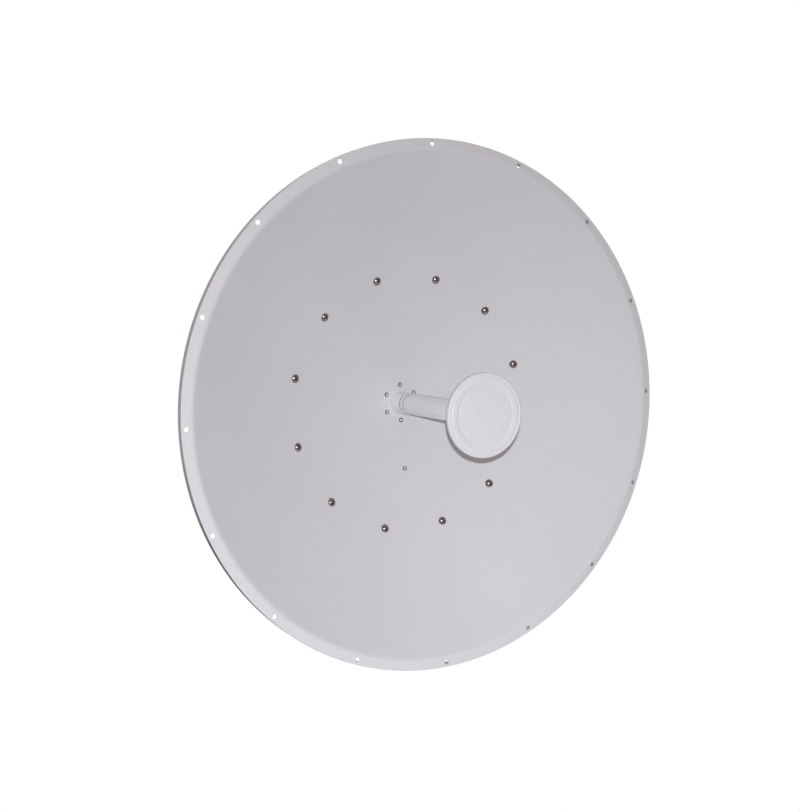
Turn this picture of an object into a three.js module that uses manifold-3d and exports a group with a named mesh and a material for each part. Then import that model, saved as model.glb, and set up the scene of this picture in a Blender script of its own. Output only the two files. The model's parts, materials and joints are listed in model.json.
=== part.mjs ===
// Solid parabolic dish antenna, 1.2 m across, with a splash-plate feed, a back ring and an azimuth and
// elevation mount for a vertical mast. Millimetres, +Z up along the mast, boresight along -Y, origin on
// the mast axis.

import * as THREE from 'three';
import { mergeVertices } from 'three/addons/utils/BufferGeometryUtils.js';
import Module from 'manifold-3d';

const wasm = await Module();
wasm.setup();

// ---- driving dimensions -------------------------------------------------------------------------

const GAP = 0.3; // running and assembly gap between neighbours
const HOLE_CLEARANCE = 0.4; // radius that a hole has over its bolt
const ROD_CLEARANCE = 0.6; // radius that a trunnion's hole has over the adjusting rod that slides in it
const ROUND = 64; // facets of the dish and its ring
const SMALL_ROUND = 24; // facets of the feed's tubes
const CUTTER_REACH = 5; // how far a hole's cutter runs past a plate

// metric fasteners: shank radius, head and washer
const M5_PAN = { radius: 2.5, headRadius: 4.8, head: 3.6 };
const M8_PAN = { radius: 4, headRadius: 8.2, head: 5.5 };
const M10 = { radius: 5, flats: 17, head: 6.4 };
const M12 = { radius: 6, flats: 18, head: 7.5, washer: 12, washerThick: 2.5 };
const M12_BARE = { radius: 6, flats: 18, head: 7.5 };
const M16 = { radius: 8, flats: 24, head: 10, washer: 15, washerThick: 3 };

// reflector
const FOCAL_LENGTH = 420;
const SHEET = 3;
const VERTEX_Y = -330;
const HUB_R = 60; // flat centre
const BEND_R = 575.2; // where bowl and rim flange meet
const RIM_R = 600;
const SKIRT = 20.6;
const RIM_Y = VERTEX_Y - BEND_R ** 2 / (4 * FOCAL_LENGTH);
const RIM_HOLES = 16;
const RIM_HOLE_R = 5.5;
const RIM_HOLE_CIRCLE = 588.8;

// back ring
const RING_BOLTS = 12;
const RING_BOLT_CIRCLE = 300;
const SEAT_LIFT = 0.8; // a screw head's seat in front of the curved surface
const RING_FOOT_IN = 282;
const RING_FOOT_OUT = 322;
const RING_WALL_R = 287;
const RING_MOUTH_R = 236;
const RING_REAR_Y = -300;
const RING_REAR_SHEET = 4;

// feed
const HUB_SCREWS = 6;
const HUB_SCREW_CIRCLE = 42.5;
const EARTH_SCREW_RADIUS = 158.8;
const FEED_R = 25;
const SPIGOT_R = 22;
const BORE_R = 19.5;
const FEED_FLANGE_R = 52;
const FEED_FLANGE_THICK = 8;
const GASKET_THICK = 2;
const SEAM_NEAR = 43; // joint ring, measured forward from the vertex
const SEAM_FAR = 60;
const CAP_R = 90;
const CAP_DEPTH = 12;
const CAP_WALL = 3;
const CAP_FRONT_Y = RIM_Y - 197.2;
const PLATE_THICK = 3;
const CONE_MOUTH_R = 70;
const TUBE_FRONT_Y = CAP_FRONT_Y + 34;
const OMT_HALF = 32;
const OMT_REAR_Y = -246;
const OMT_BORE_DEPTH = 52;
const PORT_R = 7.9;
const PORT_REACH = 62;
const PORT_H_Y = -292;
const PORT_V_Y = -268;

// elevation
const PIVOT_Y = -215; // elevation axis, at z = 0
const PLATE = 6;
const CHEEK_OUT = 78;
const EAR_IN = 79;
const LOCK_RADIUS = 75;
const ELEVATION_LIMIT = 15;
const LINK_HALF = 52.5; // rod eye and trunnion lie this far in front of and behind the pivot
const LINK_DROP = 106;
const LINK_PIN_R = 9;
const LINK_PIN_HALF = 84;
const BAR_R = 8;
const BAR_HALF = 93;
const ROD_R = 5;
const ROD_TAIL = 48;
const EAR_TOP = 265;
const EAR_FOOT_X = 125;
const EAR_BOLT_X = 102;
const EAR_BOLT_Z = 240;

// yoke and azimuth
const SWIVEL_Y = -120; // azimuth axis
const YOKE_HALF = 162;
const YOKE_REAR_Y = -100;
const YOKE_FRONT_Y = -245;
const SHELF_TOP = 155;
const SHELF_HALF_X = 60;
const AZ_EYE = [30, -220];
const AZ_TRUNNION = [100, -150]; // same distance from the azimuth axis as the eye
const AZ_ROD_Z = 185;
const AZ_EYE_THICK = 12;
const AZ_PIN_R = 7;
const AZ_ROD_TAIL = 38;

// mast clamp, drawn on an 89 mm mast
const MAST_R = 44.5;
const VEE_HALF_ANGLE = Math.PI / 3;
const VEE_HALF_X = 50;
const SADDLE_Z = 110;
const SADDLE_HEIGHT = 30;
const BRACKET_REAR_Y = -69;
const BRACKET_HALF_X = 95;
const BRACKET_HALF_Z = 172;
const STUD_X = 78;
const STUD_END_Y = 92;
const ARM_Z = 166;

// ---- finishes -----------------------------------------------------------------------------------

const FINISH = {
	paint: { color: 0xc4c4c8, roughness: 0.55, metalness: 0.0 },
	plastic: { color: 0xd6d6d6, roughness: 0.45, metalness: 0.0 },
	feed: { color: 0xc2c3c6, roughness: 0.5, metalness: 0.1 },
	steel: { color: 0x9c9994, roughness: 0.4, metalness: 0.9 },
	zinc: { color: 0xa3a7aa, roughness: 0.55, metalness: 0.8 },
	brass: { color: 0xc8b27a, roughness: 0.35, metalness: 0.9 },
	rubber: { color: 0x2a2a2b, roughness: 0.85, metalness: 0.0 },
};

// ---- solids -------------------------------------------------------------------------------------

function signedVolume(geometry) {
	const p = geometry.attributes.position;
	const index = geometry.index.array;
	const corner = [new THREE.Vector3(), new THREE.Vector3(), new THREE.Vector3()];
	let volume = 0;
	for (let i = 0; i < index.length; i += 3) {
		corner.forEach((v, k) => v.fromBufferAttribute(p, index[i + k]));
		volume += corner[0].dot(corner[1].cross(corner[2])) / 6;
	}
	return volume;
}

// A closed geometry as a solid: shared vertices merged, slivers dropped and faces turned outwards.
function solid(geometry, matrix) {
	let g = geometry.clone();
	g.deleteAttribute('normal');
	g.deleteAttribute('uv');
	if (matrix) g.applyMatrix4(matrix);
	g = mergeVertices(g, 1e-4);
	const kept = [];
	const index = g.index.array;
	for (let i = 0; i < index.length; i += 3) {
		const [a, b, c] = [index[i], index[i + 1], index[i + 2]];
		if (a !== b && b !== c && c !== a) kept.push(a, b, c);
	}
	g.setIndex(kept);
	const outward = signedVolume(g) < 0 ? kept.map((_, i) => kept[i - (i % 3) + 2 - (i % 3)]) : kept;
	return new wasm.Manifold(new wasm.Mesh({
		numProp: 3,
		vertProperties: new Float32Array(g.attributes.position.array),
		triVerts: new Uint32Array(outward),
	}));
}

function geometryOf(manifold) {
	const m = manifold.getMesh();
	const g = new THREE.BufferGeometry();
	g.setAttribute('position', new THREE.BufferAttribute(new Float32Array(m.vertProperties), 3));
	g.setIndex(Array.from(m.triVerts));
	g.computeVertexNormals();
	return g;
}

const joined = (...parts) => parts.flat().reduce((a, b) => a.add(b));
const cut = (body, ...tools) => tools.flat().reduce((a, b) => a.subtract(b), body);

// Frames whose local Z is a row axis; a plate's outline is drawn in the other two, in cyclic order.
const ALONG = {
	x: new THREE.Matrix4().makeBasis(
		new THREE.Vector3(0, 1, 0), new THREE.Vector3(0, 0, 1), new THREE.Vector3(1, 0, 0)),
	y: new THREE.Matrix4().makeBasis(
		new THREE.Vector3(0, 0, 1), new THREE.Vector3(1, 0, 0), new THREE.Vector3(0, 1, 0)),
	z: new THREE.Matrix4(),
};

function placed(matrix, position) {
	return new THREE.Matrix4().makeTranslation(...position).multiply(matrix);
}

// A plate across an axis, from one place on the axis to another. The outline is in (y, z), (z, x) or (x, y).
function plate(axis, outline, from, to) {
	const shape = new THREE.Shape(outline.map(([u, v]) => new THREE.Vector2(u, v)));
	const g = new THREE.ExtrudeGeometry(shape, { depth: to - from, bevelEnabled: false });
	return solid(g, ALONG[axis].clone().multiply(new THREE.Matrix4().makeTranslation(0, 0, from)));
}

function box(low, high) {
	const size = high.map((h, i) => h - low[i]);
	const centre = high.map((h, i) => (h + low[i]) / 2);
	return solid(new THREE.BoxGeometry(...size), new THREE.Matrix4().makeTranslation(...centre));
}

// A straight prism or cylinder, starting at a point and running a length along an axis (a row axis or a matrix).
function rod(axis, start, length, radius, facets = 16) {
	const g = new THREE.CylinderGeometry(radius, radius, length, facets);
	g.rotateX(Math.PI / 2);
	g.translate(0, 0, length / 2);
	return solid(g, placed(axis.isMatrix4 ? axis : ALONG[axis], start));
}

// A solid of revolution about Y, then placed by a matrix; the profile is a loop of (radius, y).
function turned(profile, facets, matrix) {
	const points = profile.map(([r, y]) => new THREE.Vector2(r, y));
	return solid(new THREE.LatheGeometry([...points, points[0].clone()], facets), matrix);
}

const hexRadius = (acrossFlats) => acrossFlats / Math.sqrt(3);

// A hexagon bolt along a frame's local +Z: its seat is at the frame's origin and its shank runs along -Z.
function bolt(matrix, { radius, length, flats, head, washer = 0, washerThick = 0, facets = 12 }) {
	const at = (z) => matrix.clone().multiply(new THREE.Matrix4().makeTranslation(0, 0, z));
	const parts = [
		rod(at(-length), [0, 0, 0], length + head / 2, radius, facets),
		rod(at(washerThick), [0, 0, 0], head, hexRadius(flats), 6),
	];
	if (washer) parts.push(rod(at(0), [0, 0, 0], washerThick + 0.01, washer, 12));
	return joined(parts);
}

// A domed screw in the same frame.
function panScrew(matrix, { radius, headRadius, head }, length) {
	const profile = [
		[0, head], [0.62 * headRadius, 0.86 * head], [headRadius, 0.35 * head], [headRadius, 0], [radius, 0],
		[radius, -length], [0, -length],
	];
	return turned(profile, 8, matrix.clone().multiply(new THREE.Matrix4().makeRotationX(Math.PI / 2)));
}

// Frame at a point whose local Z is the given direction.
function facing(position, direction) {
	const turn = new THREE.Quaternion().setFromUnitVectors(
		new THREE.Vector3(0, 0, 1), new THREE.Vector3(...direction).normalize());
	return new THREE.Matrix4().compose(new THREE.Vector3(...position), turn, new THREE.Vector3(1, 1, 1));
}

const model = new THREE.Group();

function add(name, manifold, finish) {
	const mesh = new THREE.Mesh(geometryOf(manifold), new THREE.MeshStandardMaterial(FINISH[finish]));
	mesh.name = name;
	model.add(mesh);
}

// ---- the parabola -------------------------------------------------------------------------------

// A point (radius, y) that lies a distance behind the reflecting surface, along its normal.
function behind(r, distance) {
	const slope = Math.atan(r / (2 * FOCAL_LENGTH));
	return [r + distance * Math.sin(slope), VERTEX_Y - r ** 2 / (4 * FOCAL_LENGTH) + distance * Math.cos(slope)];
}

// Frame on the reflecting surface, local Z along its normal towards the focus. Angle 0 is straight up.
function onSurface(r, angle) {
	const slope = Math.atan(r / (2 * FOCAL_LENGTH));
	const y = behind(Math.max(r, HUB_R), 0)[1];
	const tilt = r > HUB_R ? slope : 0;
	const out = [Math.sin(angle), 0, Math.cos(angle)];
	const normal = [-out[0] * Math.sin(tilt), -Math.cos(tilt), -out[2] * Math.sin(tilt)];
	return facing([r * out[0], y, r * out[2]], normal);
}

const turnOf = (i, n, first = 0) => first + (i * 2 * Math.PI) / n;

function holeThrough(frame, radius, reach, facets = 8) {
	return rod(frame.clone().multiply(new THREE.Matrix4().makeTranslation(0, 0, -reach)), [0, 0, 0],
		2 * reach, radius, facets);
}

const RING_BOLT_FRAMES = Array.from({ length: RING_BOLTS },
	(_, i) => onSurface(RING_BOLT_CIRCLE, turnOf(i, RING_BOLTS, Math.PI / RING_BOLTS)));
const HUB_SCREW_FRAMES = Array.from({ length: HUB_SCREWS },
	(_, i) => onSurface(HUB_SCREW_CIRCLE, turnOf(i, HUB_SCREWS)));
const EARTH_FRAME = onSurface(EARTH_SCREW_RADIUS, Math.PI);

// ---- reflector and back ring --------------------------------------------------------------------

function reflector() {
	const rings = [HUB_R, 160, RING_FOOT_IN, RING_FOOT_OUT, 400, 485, 566];
	const hubY = behind(HUB_R, 0)[1];
	const mouth = FEED_R + GAP;
	const front = [[mouth, hubY], ...rings.map((r) => behind(r, 0)), [BEND_R, RIM_Y + 1.6], [582, RIM_Y]];
	const rim = [
		[RIM_R, RIM_Y], [RIM_R, RIM_Y + SKIRT], [RIM_R - SHEET, RIM_Y + SKIRT], [RIM_R - SHEET, RIM_Y + SHEET],
	];
	const back = [[mouth, hubY + SHEET], ...rings.map((r) => behind(r, SHEET)), [BEND_R + 1, RIM_Y + 4.4],
		[583, RIM_Y + SHEET]];
	const dish = turned([...front, ...rim, ...back.reverse()], ROUND);
	const rimHoles = Array.from({ length: RIM_HOLES }, (_, i) => {
		const a = turnOf(i, RIM_HOLES);
		const start = [RIM_HOLE_CIRCLE * Math.sin(a), RIM_Y - CUTTER_REACH, RIM_HOLE_CIRCLE * Math.cos(a)];
		return rod('y', start, SHEET + 2 * CUTTER_REACH, RIM_HOLE_R, 8);
	});
	const boltHoles = RING_BOLT_FRAMES.map((f) => holeThrough(f, M8_PAN.radius + HOLE_CLEARANCE, 12));
	const screwHoles = [...HUB_SCREW_FRAMES, EARTH_FRAME]
		.map((f) => holeThrough(f, M5_PAN.radius + HOLE_CLEARANCE, 8));
	return cut(dish, rimHoles, boltHoles, screwHoles);
}

const earBoltPlaces = [-1, 1].flatMap((sx) => [-1, 1].map((sz) => [sx * EAR_BOLT_X, sz * EAR_BOLT_Z]));

function backRing() {
	const near = SHEET + GAP;
	const wallIn = RING_WALL_R - SHEET - 1;
	const profile = [
		[wallIn, behind(RING_FOOT_IN, near)[1]],
		behind(RING_FOOT_OUT, near),
		behind(RING_FOOT_OUT, near + SHEET),
		[RING_WALL_R, behind(RING_FOOT_IN + 3, near + SHEET)[1]],
		[RING_WALL_R, RING_REAR_Y],
		[RING_MOUTH_R, RING_REAR_Y],
		[RING_MOUTH_R, RING_REAR_Y - RING_REAR_SHEET],
		[wallIn, RING_REAR_Y - RING_REAR_SHEET],
	];
	const holes = RING_BOLT_FRAMES.map((f) => holeThrough(f, M8_PAN.radius + HOLE_CLEARANCE, 16));
	const earHoles = earBoltPlaces.map(([x, z]) =>
		rod('y', [x, RING_REAR_Y - 2 * CUTTER_REACH, z], 4 * CUTTER_REACH, M10.radius + HOLE_CLEARANCE, 8));
	return cut(turned(profile, ROUND), holes, earHoles);
}

add('reflector', reflector(), 'paint');
add('back_ring', backRing(), 'zinc');

const lifted = (frame, distance) => frame.clone().multiply(new THREE.Matrix4().makeTranslation(0, 0, distance));

RING_BOLT_FRAMES.forEach((frame, i) => {
	add(`ring_bolt_${String(i + 1).padStart(2, '0')}`, panScrew(lifted(frame, SEAT_LIFT), M8_PAN, 22), 'steel');
});
HUB_SCREW_FRAMES.forEach((frame, i) => {
	add(`hub_screw_${i + 1}`, panScrew(lifted(frame, GAP), M5_PAN, 12), 'steel');
});
add('earth_screw', panScrew(lifted(EARTH_FRAME, SEAT_LIFT), M5_PAN, 18), 'steel');

// ---- feed ---------------------------------------------------------------------------------------

const hubBackY = behind(HUB_R, 0)[1] + SHEET;
const flangeFrontY = hubBackY + 2 * GAP + GASKET_THICK;
const flangeRearY = flangeFrontY + FEED_FLANGE_THICK;
const seamNearY = VERTEX_Y - SEAM_NEAR;
const seamFarY = VERTEX_Y - SEAM_FAR;
const tubeRearY = flangeRearY + GAP;
const omtFrontY = tubeRearY + GAP;
const sleeveBore = SPIGOT_R + GAP;

const hubScrewHoles = HUB_SCREW_FRAMES.map((f) => holeThrough(f, M5_PAN.radius + HOLE_CLEARANCE, 30));

add('hub_gasket', cut(turned([
	[FEED_R + 1, hubBackY + GAP],
	[FEED_FLANGE_R, hubBackY + GAP],
	[FEED_FLANGE_R, hubBackY + GAP + GASKET_THICK],
	[FEED_R + 1, hubBackY + GAP + GASKET_THICK],
], SMALL_ROUND), hubScrewHoles), 'rubber');

add('feed_flange', cut(turned([
	[sleeveBore, seamNearY],
	[FEED_R, seamNearY],
	[FEED_R, flangeFrontY],
	[FEED_FLANGE_R, flangeFrontY],
	[FEED_FLANGE_R, flangeRearY],
	[sleeveBore, flangeRearY],
], SMALL_ROUND), hubScrewHoles), 'feed');

add('feed_lock_ring', turned([
	[sleeveBore, seamFarY],
	[FEED_R + GAP, seamFarY],
	[FEED_R + GAP, seamNearY - GAP],
	[sleeveBore, seamNearY - GAP],
], SMALL_ROUND), 'feed');

add('feed_tube', turned([
	[BORE_R, TUBE_FRONT_Y],
	[FEED_R, TUBE_FRONT_Y],
	[FEED_R, seamFarY - GAP],
	[SPIGOT_R, seamFarY - GAP],
	[SPIGOT_R, tubeRearY],
	[BORE_R, tubeRearY],
], SMALL_ROUND), 'feed');

const plateFrontY = CAP_FRONT_Y + CAP_WALL + GAP;
const coneFrontY = plateFrontY + PLATE_THICK + GAP;

add('dielectric_cone', turned([
	[0, coneFrontY],
	[CONE_MOUTH_R, coneFrontY],
	[CONE_MOUTH_R - 4, coneFrontY + 5],
	[FEED_R - 1, TUBE_FRONT_Y - GAP],
	[BORE_R - GAP, TUBE_FRONT_Y - GAP],
	[BORE_R - 4, TUBE_FRONT_Y + 32],
	[0, TUBE_FRONT_Y + 32],
], SMALL_ROUND), 'plastic');

add('subreflector', turned([
	[0, plateFrontY],
	[CAP_R - CAP_WALL - GAP, plateFrontY],
	[CAP_R - CAP_WALL - GAP, plateFrontY + PLATE_THICK],
	[0, plateFrontY + PLATE_THICK],
], 32), 'feed');

add('feed_cap', turned([
	[0, CAP_FRONT_Y],
	[CAP_R - 2, CAP_FRONT_Y],
	[CAP_R, CAP_FRONT_Y + 2],
	[CAP_R, CAP_FRONT_Y + CAP_DEPTH],
	[CAP_R - CAP_WALL, CAP_FRONT_Y + CAP_DEPTH],
	[CAP_R - CAP_WALL, CAP_FRONT_Y + CAP_WALL],
	[0, CAP_FRONT_Y + CAP_WALL],
], 32), 'plastic');

add('omt_body', cut(
	box([-OMT_HALF, omtFrontY, -OMT_HALF], [OMT_HALF, OMT_REAR_Y, OMT_HALF]),
	rod('y', [0, omtFrontY - 1, 0], OMT_BORE_DEPTH, BORE_R, SMALL_ROUND),
), 'zinc');

// A coaxial socket: square flange, knurled barrel open at its mouth, and centre contact.
function port(frame) {
	const at = (z) => lifted(frame, z);
	const barrel = PORT_REACH - OMT_HALF - GAP;
	const body = joined(
		rod(at(0), [0, 0, 0], 3, 17.7, 4),
		rod(at(0), [0, 0, 0], barrel, PORT_R, 16),
	);
	const mouth = cut(
		rod(at(barrel - 9), [0, 0, 0], 10, PORT_R - 1.6, 12),
		rod(at(barrel - 10), [0, 0, 0], 9, 1.5, 6),
	);
	return cut(body, mouth);
}

add('connector_h', port(facing([OMT_HALF + GAP, PORT_H_Y, 0], [1, 0, 0])), 'brass');
add('connector_v', port(facing([0, PORT_V_Y, -OMT_HALF - GAP], [0, 0, -1])), 'brass');

// ---- elevation ears and bar ---------------------------------------------------------------------

const eyeY = PIVOT_Y - LINK_HALF;
const trunnionY = PIVOT_Y + LINK_HALF;

const span = (side, a, b) => (side > 0 ? [a, b] : [-b, -a]);

// An arc slot about the elevation axis, wide enough for the lock bolt over the whole tilt.
function lockSlot(from, to) {
	const half = M12.radius + HOLE_CLEARANCE;
	const sweep = THREE.MathUtils.degToRad(ELEVATION_LIMIT + 1);
	const shape = new THREE.Shape();
	shape.absarc(0, 0, LOCK_RADIUS + half, Math.PI / 2 - sweep, Math.PI / 2 + sweep, false);
	const left = [LOCK_RADIUS * Math.cos(Math.PI / 2 + sweep), LOCK_RADIUS * Math.sin(Math.PI / 2 + sweep)];
	shape.absarc(...left, half, Math.PI / 2 + sweep, Math.PI * 1.5 + sweep, false);
	shape.absarc(0, 0, LOCK_RADIUS - half, Math.PI / 2 + sweep, Math.PI / 2 - sweep, true);
	shape.absarc(-left[0], left[1], half, -Math.PI / 2 - sweep, Math.PI / 2 - sweep, false);
	const g = new THREE.ExtrudeGeometry(shape, { depth: to - from, bevelEnabled: false, curveSegments: 5 });
	g.translate(PIVOT_Y, 0, from);
	return solid(g, ALONG.x);
}

function ear(side) {
	const [inner, outer] = span(side, EAR_IN, EAR_IN + PLATE);
	const [footIn, footOut] = span(side, EAR_IN, EAR_FOOT_X);
	const footY = RING_REAR_Y + GAP;
	const outline = [
		[footY, -EAR_TOP], [footY + 18, -EAR_TOP], [-240, -140], [-182, -45], [-178, 90], [-198, 108],
		[footY + 18, EAR_TOP], [footY, EAR_TOP],
	];
	const body = joined(
		plate('x', outline, inner, outer),
		box([footIn, footY, -EAR_TOP], [footOut, footY + PLATE, EAR_TOP]),
	);
	const through = (y, z, radius) =>
		rod('x', [inner - CUTTER_REACH, y, z], PLATE + 2 * CUTTER_REACH, radius, 16);
	return cut(
		body,
		through(PIVOT_Y, 0, M16.radius + HOLE_CLEARANCE),
		through(eyeY, -LINK_DROP, BAR_R + HOLE_CLEARANCE),
		lockSlot(inner - CUTTER_REACH, outer + CUTTER_REACH),
		[-1, 1].map((sz) => rod('y', [side * EAR_BOLT_X, footY - CUTTER_REACH, sz * EAR_BOLT_Z],
			PLATE + 2 * CUTTER_REACH, M10.radius + HOLE_CLEARANCE, 8)),
	);
}

add('ear_left', ear(-1), 'zinc');
add('ear_right', ear(1), 'zinc');

earBoltPlaces.forEach(([x, z], i) => {
	const seat = facing([x, RING_REAR_Y + 2 * GAP + PLATE, z], [0, 1, 0]);
	add(`ear_bolt_${i + 1}`, bolt(seat, { ...M10, length: 24, facets: 8 }), 'steel');
});

add('elevation_bar', rod('x', [-BAR_HALF, eyeY, -LINK_DROP], 2 * BAR_HALF, BAR_R, 16), 'steel');

// ---- yoke ---------------------------------------------------------------------------------------

function yoke() {
	const cheekIn = CHEEK_OUT - PLATE;
	const cheekOutline = [
		[YOKE_REAR_Y, -YOKE_HALF], [YOKE_REAR_Y, YOKE_HALF], [-205, YOKE_HALF], [YOKE_FRONT_Y, 98],
		[YOKE_FRONT_Y, -45], [-192, -YOKE_HALF],
	];
	const flangeOutline = (front) => [
		[-CHEEK_OUT, YOKE_REAR_Y], [-CHEEK_OUT, -192], [-45, front], [45, front], [CHEEK_OUT, -192],
		[CHEEK_OUT, YOKE_REAR_Y],
	];
	const cheeks = [-1, 1].map((s) => plate('x', cheekOutline, ...span(s, cheekIn, CHEEK_OUT)));
	const flanges = [
		plate('z', flangeOutline(-242), YOKE_HALF - PLATE, YOKE_HALF),
		plate('z', flangeOutline(-192), -YOKE_HALF, -YOKE_HALF + PLATE),
	];
	const half = CHEEK_OUT + CUTTER_REACH;
	const across = (y, z, radius) => rod('x', [-half, y, z], 2 * half, radius, 16);
	const reach = YOKE_HALF + CUTTER_REACH;
	return cut(
		joined(cheeks, flanges),
		across(PIVOT_Y, 0, M16.radius + HOLE_CLEARANCE),
		across(PIVOT_Y, LOCK_RADIUS, M12.radius + HOLE_CLEARANCE),
		across(trunnionY, -LINK_DROP, LINK_PIN_R + HOLE_CLEARANCE),
		rod('z', [0, SWIVEL_Y, -reach], 2 * reach, M16.radius + HOLE_CLEARANCE, 16),
		rod('z', [...AZ_EYE, YOKE_HALF - 20], 40, M12.radius + HOLE_CLEARANCE, 12),
	);
}

add('yoke', yoke(), 'zinc');

[[-1, 'left'], [1, 'right']].forEach(([side, name]) => {
	const seat = (z) => facing([side * (EAR_IN + PLATE + GAP), PIVOT_Y, z], [side, 0, 0]);
	add(`pivot_bolt_${name}`, bolt(seat(0), { ...M16, length: 38 }), 'steel');
	add(`lock_bolt_${name}`, bolt(seat(LOCK_RADIUS), { ...M12, length: 34 }), 'steel');
});

// ---- elevation rod ------------------------------------------------------------------------------

function eyeRod(frame, { eyeR, pinR, thick, length }) {
	const across = frame.clone().multiply(new THREE.Matrix4().makeTranslation(0, -thick / 2, 0));
	const turn = new THREE.Matrix4().makeRotationX(-Math.PI / 2);
	const eye = rod(across.clone().multiply(turn), [0, 0, 0], thick, eyeR, 20);
	const shank = rod(lifted(frame, eyeR - 3), [0, 0, 0], length - eyeR + 3, ROD_R, 12);
	const holeStart = across.clone().multiply(new THREE.Matrix4().makeTranslation(0, -CUTTER_REACH, 0));
	const hole = rod(holeStart.multiply(turn), [0, 0, 0], thick + 2 * CUTTER_REACH, pinR + HOLE_CLEARANCE, 16);
	return cut(joined(eye, shank), hole);
}

// Local Z runs along the rod and local Y along the eye's pin.
const elevationRodFrame = new THREE.Matrix4().makeBasis(
	new THREE.Vector3(0, 0, -1), new THREE.Vector3(-1, 0, 0), new THREE.Vector3(0, 1, 0),
).setPosition(0, eyeY, -LINK_DROP);
add('elevation_rod', eyeRod(elevationRodFrame, {
	eyeR: 16, pinR: BAR_R, thick: 14, length: 2 * LINK_HALF + ROD_TAIL,
}), 'steel');

const trunnionHalf = 12;
const rodHoleR = ROD_R + ROD_CLEARANCE;
const nutThick = 8;

add('elevation_trunnion', cut(
	joined(
		box([-14, trunnionY - trunnionHalf, -LINK_DROP - trunnionHalf],
			[14, trunnionY + trunnionHalf, -LINK_DROP + trunnionHalf]),
		rod('x', [-LINK_PIN_HALF, trunnionY, -LINK_DROP], 2 * LINK_PIN_HALF, LINK_PIN_R, 16),
	),
	rod('y', [0, trunnionY - 30, -LINK_DROP], 60, rodHoleR, 12),
), 'steel');

const nutAt = (y) => cut(
	rod('y', [0, y, -LINK_DROP], nutThick, hexRadius(17), 6),
	rod('y', [0, y - CUTTER_REACH, -LINK_DROP], nutThick + 2 * CUTTER_REACH, rodHoleR, 12),
);
add('elevation_nut_front', nutAt(trunnionY - trunnionHalf - GAP - nutThick), 'steel');
add('elevation_nut_rear', nutAt(trunnionY + trunnionHalf + GAP), 'steel');

// ---- mast bracket and jaws ----------------------------------------------------------------------

const veeApex = MAST_R / Math.sin(VEE_HALF_ANGLE);
const veeTipY = veeApex - VEE_HALF_X / Math.tan(VEE_HALF_ANGLE);

function mastBracket() {
	const front = BRACKET_REAR_Y - PLATE;
	const saddle = [
		[-62, BRACKET_REAR_Y - 1], [62, BRACKET_REAR_Y - 1], [62, -veeTipY], [VEE_HALF_X, -veeTipY], [0, -veeApex],
		[-VEE_HALF_X, -veeTipY], [-62, -veeTipY],
	];
	const shelf = [
		[-SHELF_HALF_X, BRACKET_REAR_Y - 1], [-SHELF_HALF_X, -140], [-35, -162], [35, -162], [SHELF_HALF_X, -140],
		[SHELF_HALF_X, BRACKET_REAR_Y - 1],
	];
	const arm = [
		[60, BRACKET_REAR_Y], [60, -95], [86, -135], [86, -158], [92, -163], [108, -163], [114, -158], [114, -130],
		[BRACKET_HALF_X, BRACKET_REAR_Y],
	];
	const half = SADDLE_HEIGHT / 2;
	const body = joined(
		box([-BRACKET_HALF_X, front, -BRACKET_HALF_Z], [BRACKET_HALF_X, BRACKET_REAR_Y, BRACKET_HALF_Z]),
		[-1, 1].map((s) => plate('z', saddle, s * SADDLE_Z - half, s * SADDLE_Z + half)),
		plate('z', shelf, SHELF_TOP - PLATE, SHELF_TOP),
		plate('z', shelf, -SHELF_TOP, -SHELF_TOP + PLATE),
		plate('z', arm, ARM_Z, ARM_Z + PLATE),
	);
	const studHoles = [-1, 1].flatMap((sx) => [-1, 1].map((sz) =>
		rod('y', [sx * STUD_X, front - CUTTER_REACH, sz * SADDLE_Z], PLATE + 2 * CUTTER_REACH,
			M12.radius + HOLE_CLEARANCE, 12)));
	return cut(
		body,
		studHoles,
		rod('z', [0, SWIVEL_Y, -SHELF_TOP - 20], 2 * SHELF_TOP + 40, M16.radius + HOLE_CLEARANCE, 16),
		rod('z', [...AZ_TRUNNION, ARM_Z - CUTTER_REACH], PLATE + 2 * CUTTER_REACH, AZ_PIN_R + HOLE_CLEARANCE, 12),
	);
}

add('mast_bracket', mastBracket(), 'zinc');

[[1, 'upper'], [-1, 'lower']].forEach(([side, name]) => {
	const seat = facing([0, SWIVEL_Y, side * (YOKE_HALF + GAP)], [0, 0, side]);
	add(`swivel_bolt_${name}`, bolt(seat, { ...M16, length: 34 }), 'steel');
	const outline = [
		[-BRACKET_HALF_X, 30], [-VEE_HALF_X, veeTipY], [0, veeApex], [VEE_HALF_X, veeTipY], [BRACKET_HALF_X, 30],
		[BRACKET_HALF_X, 44], [58, 64], [-58, 64], [-BRACKET_HALF_X, 44],
	];
	const middle = side * SADDLE_Z;
	const jaw = plate('z', outline, middle - SADDLE_HEIGHT / 2, middle + SADDLE_HEIGHT / 2);
	const holes = [-1, 1].map((sx) => rod('y', [sx * STUD_X, 0, middle], 100, M12.radius + HOLE_CLEARANCE, 12));
	add(`jaw_${name}`, cut(jaw, holes), 'zinc');
	[[-1, 'left'], [1, 'right']].forEach(([sx, hand]) => {
		const front = BRACKET_REAR_Y - PLATE - GAP;
		const seatHere = facing([sx * STUD_X, front, middle], [0, -1, 0]);
		add(`clamp_bolt_${name}_${hand}`, bolt(seatHere, { ...M12_BARE, length: STUD_END_Y - front }), 'steel');
	});
});

// ---- azimuth rod --------------------------------------------------------------------------------

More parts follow.
